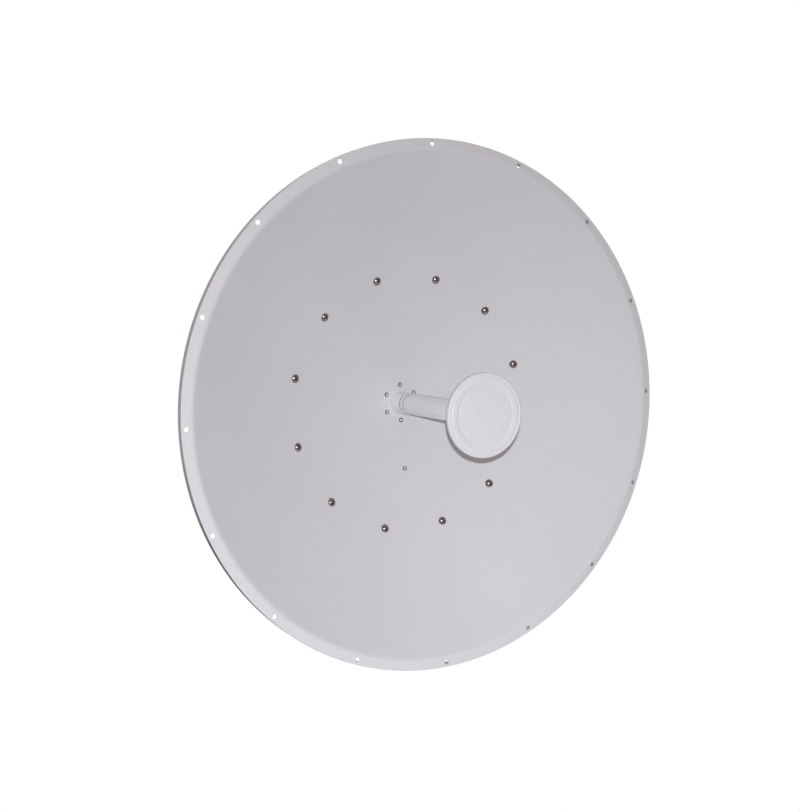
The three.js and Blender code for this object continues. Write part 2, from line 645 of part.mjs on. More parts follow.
const azimuthChord = new THREE.Vector2(AZ_TRUNNION[0] - AZ_EYE[0], AZ_TRUNNION[1] - AZ_EYE[1]);
const chordLength = azimuthChord.length();
const chordX = azimuthChord.x / chordLength;
const chordY = azimuthChord.y / chordLength;
const azimuthRodFrame = new THREE.Matrix4().makeBasis(
	new THREE.Vector3(chordY, -chordX, 0), new THREE.Vector3(0, 0, -1), new THREE.Vector3(chordX, chordY, 0),
).setPosition(AZ_EYE[0], AZ_EYE[1], AZ_ROD_Z);

add('azimuth_rod', eyeRod(azimuthRodFrame, {
	eyeR: 15, pinR: M12.radius, thick: AZ_EYE_THICK, length: chordLength + AZ_ROD_TAIL,
}), 'steel');

add('azimuth_eye_bolt', joined(
	bolt(facing([...AZ_EYE, AZ_ROD_Z + AZ_EYE_THICK / 2 + GAP], [0, 0, 1]), { ...M12_BARE, length: 46 }),
	rod('z', [...AZ_EYE, YOKE_HALF + GAP], AZ_ROD_Z - AZ_EYE_THICK / 2 - YOKE_HALF - 2 * GAP, 10, 16),
), 'steel');

const blockBase = lifted(azimuthRodFrame, chordLength);
const block = box([-12, -11, -12], [12, 11, 12]).transform(blockBase.elements);
add('azimuth_trunnion', cut(
	joined(block, rod('z', [...AZ_TRUNNION, ARM_Z - PLATE], AZ_ROD_Z - ARM_Z, AZ_PIN_R, 12)),
	holeThrough(blockBase, rodHoleR, 20, 12),
), 'steel');

export default model;
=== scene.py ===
"""Looks of a solid parabolic dish antenna with its feed and mast mount, built round the CAD frame. Metres."""

import json
import math

import bmesh
import bpy
from mathutils import Matrix, Vector


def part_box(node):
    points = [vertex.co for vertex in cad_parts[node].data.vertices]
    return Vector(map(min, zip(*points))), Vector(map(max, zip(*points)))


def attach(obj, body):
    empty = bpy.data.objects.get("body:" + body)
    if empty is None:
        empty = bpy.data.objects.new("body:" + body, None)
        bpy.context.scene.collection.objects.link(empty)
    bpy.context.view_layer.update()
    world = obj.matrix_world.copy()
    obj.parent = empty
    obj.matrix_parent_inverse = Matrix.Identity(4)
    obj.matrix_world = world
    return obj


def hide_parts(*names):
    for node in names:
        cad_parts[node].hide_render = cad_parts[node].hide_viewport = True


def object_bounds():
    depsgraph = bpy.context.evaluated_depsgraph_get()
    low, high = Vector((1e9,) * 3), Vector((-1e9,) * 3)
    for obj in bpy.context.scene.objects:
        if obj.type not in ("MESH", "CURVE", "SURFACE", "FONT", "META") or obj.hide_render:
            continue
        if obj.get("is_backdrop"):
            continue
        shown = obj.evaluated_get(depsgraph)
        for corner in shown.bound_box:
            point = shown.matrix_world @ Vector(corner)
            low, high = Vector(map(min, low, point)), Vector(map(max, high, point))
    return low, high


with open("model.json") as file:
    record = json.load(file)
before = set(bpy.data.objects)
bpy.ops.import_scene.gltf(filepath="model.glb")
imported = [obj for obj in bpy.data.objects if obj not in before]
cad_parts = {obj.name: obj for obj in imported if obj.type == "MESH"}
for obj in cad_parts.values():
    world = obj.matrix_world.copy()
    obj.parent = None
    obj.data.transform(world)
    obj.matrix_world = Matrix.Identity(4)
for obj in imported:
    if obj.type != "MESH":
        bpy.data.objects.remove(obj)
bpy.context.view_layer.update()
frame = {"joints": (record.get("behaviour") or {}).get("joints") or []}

MM = 0.001

# ---- places read from the frame --------------------------------------------

REFLECTOR_LOW, REFLECTOR_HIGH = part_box("reflector")
CAP_LOW, CAP_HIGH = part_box("feed_cap")
PLATE_LOW, PLATE_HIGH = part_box("subreflector")
CONE_LOW, CONE_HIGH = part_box("dielectric_cone")
TUBE_LOW, TUBE_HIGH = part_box("feed_tube")
LOCK_LOW, LOCK_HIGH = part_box("feed_lock_ring")
FLANGE_LOW, FLANGE_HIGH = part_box("feed_flange")
GASKET_LOW, GASKET_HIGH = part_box("hub_gasket")
EAR_LOW, EAR_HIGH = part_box("ear_right")
BAR_LOW, BAR_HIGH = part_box("elevation_bar")
YOKE_LOW, YOKE_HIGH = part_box("yoke")
OMT_LOW, OMT_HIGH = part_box("omt_body")
JOINTS = {joint["name"]: Vector(joint["pos_m"]) for joint in frame["joints"] if "pos_m" in joint}
PIVOT = JOINTS["elevation"]
SWIVEL = JOINTS["azimuth"]
AZ_EYE = JOINTS["azimuth_rod_eye"]
AZ_TRUNNION = JOINTS["azimuth_trunnion_turn"]
TRUNNION = JOINTS["elevation_trunnion_turn"]
RIM_Y = REFLECTOR_LOW.y
RIM_R = REFLECTOR_HIGH.x
TUBE_R = TUBE_HIGH.x
OMT_HALF = OMT_HIGH.x
RING_REAR_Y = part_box("back_ring")[1].y
LINK_EYE = (BAR_LOW + BAR_HIGH) / 2
BAR_R = (BAR_HIGH.y - BAR_LOW.y) / 2

# ---- dimensions shared by several pieces -----------------------------------

FOCAL_LENGTH = 420 * MM
SHEET = 3 * MM                # the dish
PLATE = 6 * MM                # the mount's plates
BEND_R = 575.2 * MM           # where the bowl turns into the rim flange
VERTEX_Y = RIM_Y + BEND_R ** 2 / (4 * FOCAL_LENGTH)
HUB_R = 60 * MM               # the flat middle of the dish
GAP = 0.3 * MM                # air between pieces that touch
RIM_HOLES = 16
RIM_HOLE_R = 5.6 * MM
RIM_HOLE_CIRCLE = 588.8 * MM
RING_BOLTS = 12
RING_BOLT_CIRCLE = 300 * MM
HUB_SCREWS = 6
HUB_SCREW_CIRCLE = 42.5 * MM
EARTH_SCREW_RADIUS = 158.8 * MM
M12_HOLE = 6.4 * MM
M16_HOLE = 8.4 * MM

# ---- outlines and meshes ---------------------------------------------------


def arc(centre, radius, start, end, steps=10):
    turns = [start + (end - start) * k / steps for k in range(steps + 1)]
    return [(centre[0] + radius * math.cos(t), centre[1] + radius * math.sin(t)) for t in turns]


def circle(centre, radius, steps=40):
    return arc(centre, radius, 0, 2 * math.pi, steps)[:-1]


def rectangle(low_u, low_v, high_u, high_v):
    return [(low_u, low_v), (high_u, low_v), (high_u, high_v), (low_u, high_v)]


def mm(*sizes):
    return [size * MM for size in sizes]


def mirrored(half):
    """A closed outline from one half of it, which the other half mirrors in u."""
    return half + [(-u, v) for u, v in half[::-1]]


def fillet(points, radius, closed=True, steps=4):
    """The same outline with its corners rounded; radius is one number, or one for each point."""
    count = len(points)
    radii = radius if isinstance(radius, (list, tuple)) else [radius] * count
    out = []
    for i, p in enumerate(points):
        here = Vector(p)
        before, after = Vector(points[i - 1]) - here, Vector(points[(i + 1) % count]) - here
        turn = before.angle(after, 0)
        end_point = not closed and i in (0, count - 1)
        if radii[i] <= 0 or end_point or turn < 0.01 or turn > math.pi - 0.01:
            out.append(tuple(here))
            continue
        reach = min(radii[i] / math.tan(turn / 2), 0.49 * before.length, 0.49 * after.length)
        start, end = here + before.normalized() * reach, here + after.normalized() * reach
        true_r = reach * math.tan(turn / 2)
        inward = (before.normalized() + after.normalized()).normalized()
        centre = here + inward * (true_r / math.sin(turn / 2))
        a, b = start - centre, end - centre
        sweep = a.angle(b, 0)
        for k in range(steps + 1):
            t = k / steps
            mixed = a * math.sin((1 - t) * sweep) + b * math.sin(t * sweep)
            out.append(tuple(centre + mixed / math.sin(sweep)))
    return out


def lathe(profile, steps=96, closed=True):
    """Points and faces of a turned form about Y; a closed profile is a loop, an open one ends on the axis."""
    points, rows, faces = [], [], []
    turns = [2 * math.pi * i / steps for i in range(steps)]
    for r, y in profile:
        count = 1 if r < 1e-7 else steps
        rows.append(range(len(points), len(points) + count))
        points += [(r * math.sin(t), y, r * math.cos(t)) for t in turns[:count]]
    for a, b in list(zip(rows, rows[1:])) + ([(rows[-1], rows[0])] if closed else []):
        for i in range(steps):
            corners = (a[i % len(a)], b[i % len(b)], b[(i + 1) % len(b)], a[(i + 1) % len(a)])
            face = tuple(dict.fromkeys(corners))
            if len(face) > 2:
                faces.append(face)
    return points, faces


def skin(rows, loop=False):
    """Rows of points of one count, joined into a tube that is capped, or closed into a loop."""
    count = len(rows[0])
    points = [p for row in rows for p in row]
    faces = []
    for i in range(len(rows) if loop else len(rows) - 1):
        a, b = i * count, ((i + 1) % len(rows)) * count
        faces += [(a + k, a + (k + 1) % count, b + (k + 1) % count, b + k) for k in range(count)]
    if not loop:
        faces += [tuple(range(count))[::-1], tuple((len(rows) - 1) * count + k for k in range(count))]
    return points, faces


def extruded(outline, axis, low, high):
    """A prism: an outline in (y, z), (z, x) or (x, y), taken along x, y or z from low to high."""
    order = {"x": (2, 0, 1), "y": (1, 2, 0), "z": (0, 1, 2)}[axis]
    return skin([[tuple((u, v, w)[k] for k in order) for u, v in outline] for w in (low, high)])


SIDES = 48        # points round a fastener


def round_row(radius, z, sides=SIDES):
    return [(x, y, z) for x, y in circle((0, 0), radius, sides)]


def turned(profile, loop=False, sides=SIDES):
    """A form turned about Z from (radius, z) pairs."""
    return skin([round_row(r, z, sides) for r, z in profile], loop)


def merged(*forms):
    """Several (points, faces[, matrix]) as one."""
    points, faces = [], []
    for form in forms:
        start = len(points)
        move = form[2] if len(form) > 2 else Matrix()
        points += [tuple(move @ Vector(p)) for p in form[0]]
        faces += [tuple(start + k for k in f) for f in form[1]]
    return points, faces


def mesh_of(name, points, faces, sharp=32):
    """A mesh with its faces turned outwards, smooth apart from edges sharper than an angle in degrees."""
    mesh = bpy.data.meshes.new(name)
    mesh.from_pydata(points, [], faces)
    bm = bmesh.new()
    bm.from_mesh(mesh)
    bmesh.ops.recalc_face_normals(bm, faces=bm.faces)
    bm.to_mesh(mesh)
    bm.free()
    mesh.shade_smooth()
    mesh.set_sharp_from_angle(angle=math.radians(sharp))
    return mesh


def carve(target, tool, operation="DIFFERENCE"):
    """A new mesh: target cut by, joined with or limited to tool."""
    a = bpy.data.objects.new("carve_a", target)
    b = bpy.data.objects.new("carve_b", tool)
    for o in (a, b):
        bpy.context.scene.collection.objects.link(o)
    change = a.modifiers.new("cut", "BOOLEAN")
    change.operation = operation
    change.solver = "EXACT"
    change.object = b
    bpy.context.view_layer.update()
    result = bpy.data.meshes.new_from_object(a.evaluated_get(bpy.context.evaluated_depsgraph_get()))
    result.name = target.name
    for o in (a, b):
        bpy.data.objects.remove(o)
    result.shade_smooth()
    result.set_sharp_from_angle(angle=math.radians(32))
    return result


def cut(whole, holes):
    for hole in holes:
        whole = carve(whole, mesh_of("hole", *hole))
    return whole


def fabricated(name, plates, holes):
    """Plates joined into one mesh, with holes cut through them."""
    whole = mesh_of(name, *plates[0])
    for plate in plates[1:]:
        whole = carve(whole, mesh_of("plate", *plate), "UNION")
    return cut(whole, holes)


# ---- pieces and their places -----------------------------------------------


def piece(name, shape, finish, body, replaces=(), matrix=None, sharp=32):
    """A piece that rides on a body and stands for CAD nodes; its shape is a mesh, or points and faces."""
    mesh = shape if isinstance(shape, bpy.types.Mesh) else mesh_of(name, *shape, sharp)
    obj = bpy.data.objects.new(name, mesh)
    bpy.context.scene.collection.objects.link(obj)
    if matrix is not None:
        obj.matrix_world = matrix
    if not mesh.materials:
        mesh.materials.append(finish)
    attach(obj, body)
    if replaces:
        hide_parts(replaces)
    return obj


def soften(obj, width, segments=2):
    """Rounds the edges of a piece that meet at more than 35 degrees."""
    bevel = obj.modifiers.new("edges", "BEVEL")
    bevel.width = width
    bevel.segments = segments
    bevel.limit_method = "ANGLE"
    bevel.angle_limit = math.radians(35)
    bevel.harden_normals = True


def along(position, direction, spin=0.0):
    """Matrix at a point whose local Z is a direction, turned about it by spin."""
    turn = Vector((0, 0, 1)).rotation_difference(Vector(direction).normalized()).to_matrix().to_4x4()
    return Matrix.Translation(position) @ turn @ Matrix.Rotation(spin, 4, "Z")


def axes(x, y, z, origin):
    """Matrix from its three axes and its origin."""
    return Matrix.Translation(origin) @ Matrix((x, y, z)).transposed().to_4x4()


def behind(r, distance=0.0):
    """(radius, y) of a point a distance behind the reflecting surface, along its normal."""
    slope = math.atan(r / (2 * FOCAL_LENGTH))
    y = VERTEX_Y - r ** 2 / (4 * FOCAL_LENGTH)
    return r + distance * math.sin(slope), y + distance * math.cos(slope)


def on_surface(r, turn, lift=0.0, spin=0.0):
    """Matrix on the reflecting surface, local Z along its normal to the focus; turn 0 is straight up."""
    slope = math.atan(r / (2 * FOCAL_LENGTH)) if r > HUB_R else 0.0
    out = Vector((math.sin(turn), 0, math.cos(turn)))
    normal = -out * math.sin(slope) - Vector((0, 1, 0)) * math.cos(slope)
    return along(out * r + Vector((0, behind(max(r, HUB_R))[1], 0)) + normal * lift, normal, spin)


# ---- materials -------------------------------------------------------------


class Finish:
    """A procedural material: a Principled shader with noise in its colour, roughness and height."""

    def __init__(self, name, metallic=0.0, **constants):
        self.material = bpy.data.materials.new(name)
        self.material.use_nodes = True
        self.tree = self.material.node_tree
        self.bsdf = self.tree.nodes["Principled BSDF"]
        self.bsdf.inputs["Metallic"].default_value = metallic
        for socket, value in constants.items():
            self.bsdf.inputs[socket.replace("_", " ")].default_value = value
        self.place = self.node("ShaderNodeTexCoord").outputs["Object"]

    def node(self, kind, inputs=(), **settings):
        """A node with its settings, its inputs linked or set by name or number."""
        made = self.tree.nodes.new(kind)
        for key, value in settings.items():
            setattr(made, key, value)
        for socket, value in dict(inputs).items():
            if isinstance(value, bpy.types.NodeSocket):
                self.tree.links.new(value, made.inputs[socket])
            else:
                made.inputs[socket].default_value = value
        return made

    def noise(self, scale, detail=3.0, rough=0.55, stretch=None):
        place = self.place
        if stretch:
            place = self.node("ShaderNodeMapping", {"Vector": place, "Scale": stretch}).outputs["Vector"]
        inputs = {"Vector": place, "Scale": scale, "Detail": detail, "Roughness": rough}
        return self.node("ShaderNodeTexNoise", inputs).outputs["Fac"]

    def map(self, value, low, high, to_low=0.0, to_high=1.0):
        inputs = {"Value": value, "From Min": low, "From Max": high, "To Min": to_low, "To Max": to_high}
        return self.node("ShaderNodeMapRange", inputs, clamp=True).outputs["Result"]

    def patches(self, scale, detail, low=0.3, high=0.7, to_low=0.0, to_high=1.0):
        """Noise, spread over a range of values."""
        return self.map(self.noise(scale, detail), low, high, to_low, to_high)

    def mix(self, factor, a, b):
        a, b = (c if isinstance(c, bpy.types.NodeSocket) else (*c, 1) for c in (a, b))
        return self.node("ShaderNodeMix", {0: factor, 6: a, 7: b}, data_type="RGBA").outputs[2]

    def math(self, operation, a, b):
        return self.node("ShaderNodeMath", {0: a, 1: b}, operation=operation).outputs[0]

    def from_axis(self):
        """Distance of a point from the Y axis, its y and its z."""
        split = self.node("ShaderNodeSeparateXYZ", {"Vector": self.place})
        x, y, z = (split.outputs[k] for k in "XYZ")
        squares = self.math("ADD", self.math("MULTIPLY", x, x), self.math("MULTIPLY", z, z))
        return self.math("POWER", squares, 0.5), y, z

    def finished(self, colour, roughness, *layers):
        """The material, with its colour, its roughness and bump from (socket, depth in metres) layers."""
        self.tree.links.new(colour, self.bsdf.inputs["Base Color"])
        self.tree.links.new(roughness, self.bsdf.inputs["Roughness"])
        lower = {}
        for socket, depth in layers:
            inputs = {"Height": socket, "Distance": depth, "Strength": 1.0, **lower}
            bump = self.node("ShaderNodeBump", inputs)
            lower = {"Normal": bump.outputs["Normal"]}
        if lower:
            self.tree.links.new(lower["Normal"], self.bsdf.inputs["Normal"])
        return self.material


def paint_finish():
    """Light grey powder coat: orange peel, faint clouding, painted light on the front of the rim flange,
    painted shade inside the skirt and along its underside, and dust specks.
    """
    f = Finish("powder_coat", Specular_IOR_Level=0.35)
    base = f.mix(f.patches(5, 4), (0.690, 0.690, 0.712), (0.716, 0.716, 0.730))
    base = f.mix(f.math("MULTIPLY", f.patches(160, 3), 0.25), base, (0.65, 0.65, 0.67))
    radius, y, z = f.from_axis()
    # Painted light: the front face of the rim flange is made paler, standing in for the stronger light it
    # catches.
    rim_painted_light = f.math("MULTIPLY", f.map(radius, BEND_R - 6 * MM, BEND_R + 3 * MM, 0.0, 0.75),
                    f.map(y, RIM_Y + 2.5 * MM, RIM_Y + 3.5 * MM, 1.0, 0.0))
    base = f.mix(rim_painted_light, base, (0.785, 0.785, 0.805))
    # Painted shade: the inside of the turned-back skirt is made dark, standing in for the shade that falls
    # there.
    skirt_painted_shade = f.math("MULTIPLY", f.map(radius, RIM_R - 12 * MM, RIM_R - 8 * MM),
                        f.map(radius, RIM_R - 2.2 * MM, RIM_R - 1.4 * MM, 1.0, 0.0))
    skirt_painted_shade = f.math("MULTIPLY", skirt_painted_shade, f.map(y, RIM_Y + 6 * MM, RIM_Y + 9 * MM, 0.0, 0.85))
    base = f.mix(skirt_painted_shade, base, (0.24, 0.23, 0.23))
    # Painted shade: the outer face of the skirt darkens towards the bottom, standing in for the shade under
    # the rim.
    underside_painted_shade = f.math("MULTIPLY", f.map(radius, RIM_R - 0.9 * MM, RIM_R - 0.3 * MM),
                       f.map(z, -0.02, -0.25, 0.0, 0.92))
    base = f.mix(underside_painted_shade, base, (0.14, 0.135, 0.135))
    dusty = f.mix(f.patches(420, 2, 0.70, 0.76, 0.0, 0.35), base, (0.52, 0.51, 0.50))
    return f.finished(dusty, f.patches(40, 3, to_low=0.56, to_high=0.66),
                      (f.noise(650, 2), 0.05 * MM), (f.noise(90, 2), 0.06 * MM))


def plastic_finish():
    """White moulded plastic of the cap: fine grain and slightly uneven gloss."""
    f = Finish("white_plastic", Specular_IOR_Level=0.45)
    base = f.mix(f.patches(14, 3), (0.735, 0.735, 0.752), (0.765, 0.765, 0.778))
    specked = f.mix(f.patches(500, 2, 0.68, 0.76, 0.0, 0.2), base, (0.62, 0.61, 0.60))
    return f.finished(specked, f.patches(60, 3, to_low=0.52, to_high=0.64),
                      (f.noise(900, 2), 0.03 * MM), (f.noise(45, 2), 0.08 * MM))


def tube_finish():
    """Painted aluminium tube, a little greyer than the cap, with faint drawn streaks along it."""
    f = Finish("painted_tube", Specular_IOR_Level=0.4)
    streak = f.map(f.noise(60, 4, 0.6, (1.0, 0.06, 1.0)), 0.3, 0.7)
    base = f.mix(streak, (0.760, 0.770, 0.785), (0.800, 0.805, 0.815))
    patched = f.mix(f.patches(22, 3, 0.45, 0.62, 0.0, 0.30), base, (0.72, 0.73, 0.72))
    return f.finished(patched, f.patches(50, 3, to_low=0.42, to_high=0.56),
                      (f.noise(700, 2), 0.04 * MM), (f.noise(60, 2, 0.5, (1.0, 0.1, 1.0)), 0.05 * MM))


def steel_finish(name, light, dark, rough_low, rough_high, blotch=40, grain=0.02 * MM):
    """Bright plated or stainless steel with tarnish in blotches and fine machining marks."""
    f = Finish(name, metallic=1.0)
    base = f.mix(f.patches(blotch, 4, 0.35, 0.68), light, dark)
    grimy = f.mix(f.patches(blotch * 6, 3, 0.55, 0.75, 0.0, 0.5), base, tuple(c * 0.6 for c in dark))
    return f.finished(grimy, f.patches(blotch * 3, 3, to_low=rough_low, to_high=rough_high),
                      (f.noise(900, 2), grain))


def galvanised_finish():
    """Hot-dip galvanised steel: spangle cells of differing grey, dull runs and a faintly uneven skin."""
    f = Finish("galvanised_steel", metallic=0.85)
    cells = f.node("ShaderNodeTexVoronoi", {"Vector": f.place, "Scale": 85, "Randomness": 1.0})
    spangle = f.node("ShaderNodeSeparateColor", {"Color": cells.outputs["Color"]})
    tone = f.map(spangle.outputs["Red"], 0.0, 1.0)
    base = f.mix(tone, (0.50, 0.52, 0.54), (0.63, 0.65, 0.67))
    dulled = f.mix(f.patches(12, 4, 0.42, 0.66, 0.0, 0.55), base, (0.46, 0.47, 0.48))
    uneven = f.math("ADD", f.math("MULTIPLY", tone, 0.6), f.noise(30, 3))
    return f.finished(dulled, f.map(uneven, 0.3, 1.3, 0.34, 0.60),
                      (f.noise(140, 3), 0.10 * MM), (spangle.outputs["Green"], 0.02 * MM))


def rubber_finish():
    f = Finish("black_rubber", Specular_IOR_Level=0.3)
    bloom = f.mix(f.patches(90, 4, 0.35, 0.7), (0.022, 0.022, 0.023), (0.060, 0.058, 0.056))
    return f.finished(bloom, f.patches(200, 2, to_low=0.68, to_high=0.85), (f.noise(800, 2), 0.04 * MM))


PAINT = paint_finish()
PLASTIC = plastic_finish()
TUBE = tube_finish()
# Painted reflection: the stainless screws' colours are dark and brownish to stand in for the dark, warm
# surroundings their polished domes reflect; their blotches are tarnish.
STAINLESS = steel_finish("stainless_screw", (0.38, 0.305, 0.30), (0.21, 0.165, 0.163), 0.25, 0.29, 120,
                         0.002 * MM)
BRIGHT = steel_finish("bright_screw", (0.93, 0.93, 0.94), (0.80, 0.80, 0.80), 0.22, 0.34, 120, 0.006 * MM)
ZINC = steel_finish("zinc_plated_steel", (0.70, 0.695, 0.67), (0.52, 0.51, 0.48), 0.22, 0.40, 60)
ALUMINIUM = steel_finish("cast_aluminium", (0.74, 0.74, 0.73), (0.60, 0.60, 0.59), 0.30, 0.46, 45)
BRASS = steel_finish("connector_brass", (0.78, 0.70, 0.46), (0.62, 0.53, 0.33), 0.18, 0.34, 90)
GALVANISED = galvanised_finish()
RUBBER = rubber_finish()

# ---- reflector -------------------------------------------------------------

PATCH_CELLS = 6            # cells across the square of grid that holds one rim hole
PATCH_HALF = 7.6 * MM
PLAIN_COLUMNS = 14         # columns between two such squares
SECTOR = 2 * math.pi / RIM_HOLES
CHAMFER = 0.4 * MM
SKIRT_DEPTH = 23 * MM
RIM_LEAN = math.radians(5)       # the flange leans back by this much towards its outer edge
HEM_R = 2.6 * MM


def bowl_rows(distance):
    """Rows (radius, y) of one face of the sheet, from the hub hole to where the rim flange turns flat."""
    mouth, hub_y = 25.4 * MM, behind(HUB_R)[1] + distance
    rows = [(mouth + (HUB_R - 4 * MM - mouth) * k / 3, hub_y) for k in range(4)]
    start, bend_start = HUB_R + 4 * MM, 563 * MM
    steps = 44
    rows += [behind(start + (bend_start - start) * k / steps, distance) for k in range(steps + 1)]
    (r0, y0), (r1, y1) = rows[-1], (RIM_HOLE_CIRCLE - PATCH_HALF, RIM_Y + distance)
    slope = -r0 / (2 * FOCAL_LENGTH)
    for k in range(1, 8):          # the bend: a cubic from the bowl's slope to the flat flange
        t = k / 8
        h00, h10, h01 = 2 * t ** 3 - 3 * t ** 2 + 1, t ** 3 - 2 * t ** 2 + t, 3 * t ** 2 - 2 * t ** 3
        rows.append((r0 + (r1 - r0) * t, h00 * y0 + h10 * (r1 - r0) * slope + h01 * y1))
    return rows


def flange_rows(distance):
    return [(RIM_HOLE_CIRCLE - PATCH_HALF + 2 * PATCH_HALF * k / PATCH_CELLS, RIM_Y + distance)
            for k in range(PATCH_CELLS + 1)]


def skirt_rows():
    """From the front flange round the outer corner, along the skirt, round its hem and back inside."""
    outer, inner = RIM_R, RIM_R - SHEET
    hem_y = RIM_Y + SKIRT_DEPTH - HEM_R
    corner = [(outer - 3.2 * MM, RIM_Y), (outer, RIM_Y), (outer, RIM_Y + 6 * MM)]
    rows = fillet(corner, 2.4 * MM, closed=False, steps=5)[1:] + [(outer, hem_y)]
    rows += arc((outer - HEM_R, hem_y), HEM_R, 0, math.pi, 8)[1:-1]
    rows += [(outer - 2 * HEM_R, hem_y), (outer - 2 * HEM_R, hem_y - 3 * MM), (inner, hem_y - 4 * MM)]
    inside = [(inner, RIM_Y + 8 * MM), (inner, RIM_Y + SHEET), (inner - 0.3 * MM, RIM_Y + SHEET)]
    return rows + fillet(inside, 0.25 * MM, closed=False)


def leaning(point):
    """A point of the sheet, moved back where it lies outside the bend."""
    x, y, z = point
    return x, y + max(0.0, math.hypot(x, z) - BEND_R) * math.tan(RIM_LEAN), z


def square_edge(at, first, last, column):
    """The grid points round one hole's square, from the first row to the last and back."""
    n, step = PATCH_CELLS, 1 if last > first else -1
    return ([at(first, column + k) for k in range(n)] + [at(first + step * k, column + n) for k in range(n)]
            + [at(last, column + n - k) for k in range(n)] + [at(last - step * k, column) for k in range(n)])


def hole_loops(points, edge, hole, y, inward):
    """The edge of a hole's square and two rings inside it: the chamfer's mouth and the hole itself."""
    centre = Vector((RIM_HOLE_CIRCLE * math.sin(hole * SECTOR), RIM_HOLE_CIRCLE * math.cos(hole * SECTOR)))
    loops = [edge]
    for radius, depth in ((RIM_HOLE_R + CHAMFER, 0), (RIM_HOLE_R, inward * CHAMFER)):
        loops.append(range(len(points), len(points) + len(edge)))
        for v in edge:
            out = (Vector((points[v][0], points[v][2])) - centre).normalized() * radius
            points.append((centre.x + out.x, y + depth, centre.y + out.y))
    return loops


def dish_form():
    """The dish as a grid of rows and columns, with a round hole set into a square at each rim hole."""
    half_turn = PATCH_HALF / RIM_HOLE_CIRCLE
    turns = []
    for i in range(RIM_HOLES):
        start = i * SECTOR + half_turn
        turns += [i * SECTOR + half_turn * (2 * k / PATCH_CELLS - 1) for k in range(PATCH_CELLS)]
        turns += [start + (SECTOR - 2 * half_turn) * k / PLAIN_COLUMNS for k in range(PLAIN_COLUMNS)]
    per_sector = PATCH_CELLS + PLAIN_COLUMNS
    front = bowl_rows(0) + flange_rows(0)
    skirt = skirt_rows()
    back = bowl_rows(SHEET) + flange_rows(SHEET)
    rows = front + skirt + back[::-1]
    first_front = len(front) - PATCH_CELLS - 1
    first_back = len(front) + len(skirt)
    points = [(r * math.sin(t), y, r * math.cos(t)) for r, y in rows for t in turns]

    def at(row, column):
        return (row % len(rows)) * len(turns) + column % len(turns)

    faces = []
    for row in range(len(rows)):
        holed = any(first <= row < first + PATCH_CELLS for first in (first_front, first_back))
        faces += [(at(row, c), at(row, c + 1), at(row + 1, c + 1), at(row + 1, c)) for c in range(len(turns))
                  if not (holed and c % per_sector < PATCH_CELLS)]
    for i in range(RIM_HOLES):
        column = i * per_sector
        before = square_edge(at, first_front, first_front + PATCH_CELLS, column)
        after = square_edge(at, first_back + PATCH_CELLS, first_back, column)
        wall = hole_loops(points, before, i, RIM_Y, 1) + hole_loops(points, after, i, RIM_Y + SHEET, -1)[::-1]
        for a, b in zip(wall, wall[1:]):
            faces += [(a[k], a[(k + 1) % len(a)], b[(k + 1) % len(b)], b[k]) for k in range(len(a))]
    return [leaning(p) for p in points], faces


piece("dish", dish_form(), PAINT, "reflector_frame", "reflector", sharp=40)

# ---- back ring -------------------------------------------------------------

RING_WALL_R = 287 * MM
RING_MOUTH_R = 236 * MM
RING_REAR_FRONT_Y = RING_REAR_Y - 4 * MM        # front face of the ring's rear flange


def back_ring():
    near, foot_in, foot_out, steps = SHEET + GAP, 282 * MM, 322 * MM, 6
    wall_in = RING_WALL_R - 4 * MM
    foot_near = [behind(foot_in + (foot_out - foot_in) * k / steps, near) for k in range(1, steps + 1)]
    foot_far = [behind(foot_in + 6 * MM + (foot_out - foot_in - 6 * MM) * k / steps, near + SHEET)
                for k in range(steps, 0, -1)]
    outline = [(wall_in, behind(foot_in, near)[1])] + foot_near + foot_far
    outline += [(RING_WALL_R, behind(foot_in + 3 * MM, near + SHEET)[1]), (RING_WALL_R, RING_REAR_Y),
                (RING_MOUTH_R, RING_REAR_Y), (RING_MOUTH_R, RING_REAR_FRONT_Y), (wall_in, RING_REAR_FRONT_Y)]
    foot_radii = [1] + [0] * (steps - 1)
    radii = mm(*foot_radii, 1, *foot_radii, 5, 6, 1.2, 1.2, 2)
    return lathe(fillet(outline, radii), 160)


piece("mounting_ring", back_ring(), GALVANISED, "reflector_frame", "back_ring")

# ---- fasteners, made along Z with their seat at z = 0 ----------------------


def wavy_row(radius, depth, pitch, z, sides):
    """A round row whose radius rises and falls once round, as a thread does."""
    row = []
    for k in range(sides):
        turn = 2 * math.pi * k / sides
        r = radius - depth * (0.5 + 0.5 * math.cos(2 * math.pi * (z / pitch - k / sides)))
        row.append((r * math.cos(turn), r * math.sin(turn), z))
    return row


def thread(radius, pitch, low, high, sides=24):
    """A threaded rod with pointed ends."""
    depth = 0.55 * pitch
    steps = max(2, round((high - low) / pitch * 4))
    rows = [wavy_row(radius, depth, pitch, low + (high - low) * i / steps, sides) for i in range(steps + 1)]
    return skin([round_row(radius - depth, low - 0.5 * MM, sides)] + rows
                + [round_row(radius - depth, high + 0.5 * MM, sides)])


def hex_row(flats, z, corner_drop=0.0):
    """A hexagon as a row of SIDES points; its corners may lie lower than the middle of its sides."""
    row = []
    for k in range(SIDES):
        turn = 2 * math.pi * k / SIDES
        r = flats / 2 / math.cos((turn + math.pi / 6) % (math.pi / 3) - math.pi / 6)
        row.append((r * math.cos(turn), r * math.sin(turn), z - corner_drop * (r - 0.475 * flats)))
    return row


def hex_head(flats, low, high):
    """A bolt head from low to high, its outer corners chamfered by a cone."""
    return skin([round_row(0.40 * flats, low), hex_row(flats, low), hex_row(flats, high, 0.6),
                 round_row(0.475 * flats, high), round_row(0.30 * flats, high),
                 round_row(0.27 * flats, high - 0.35 * MM)])


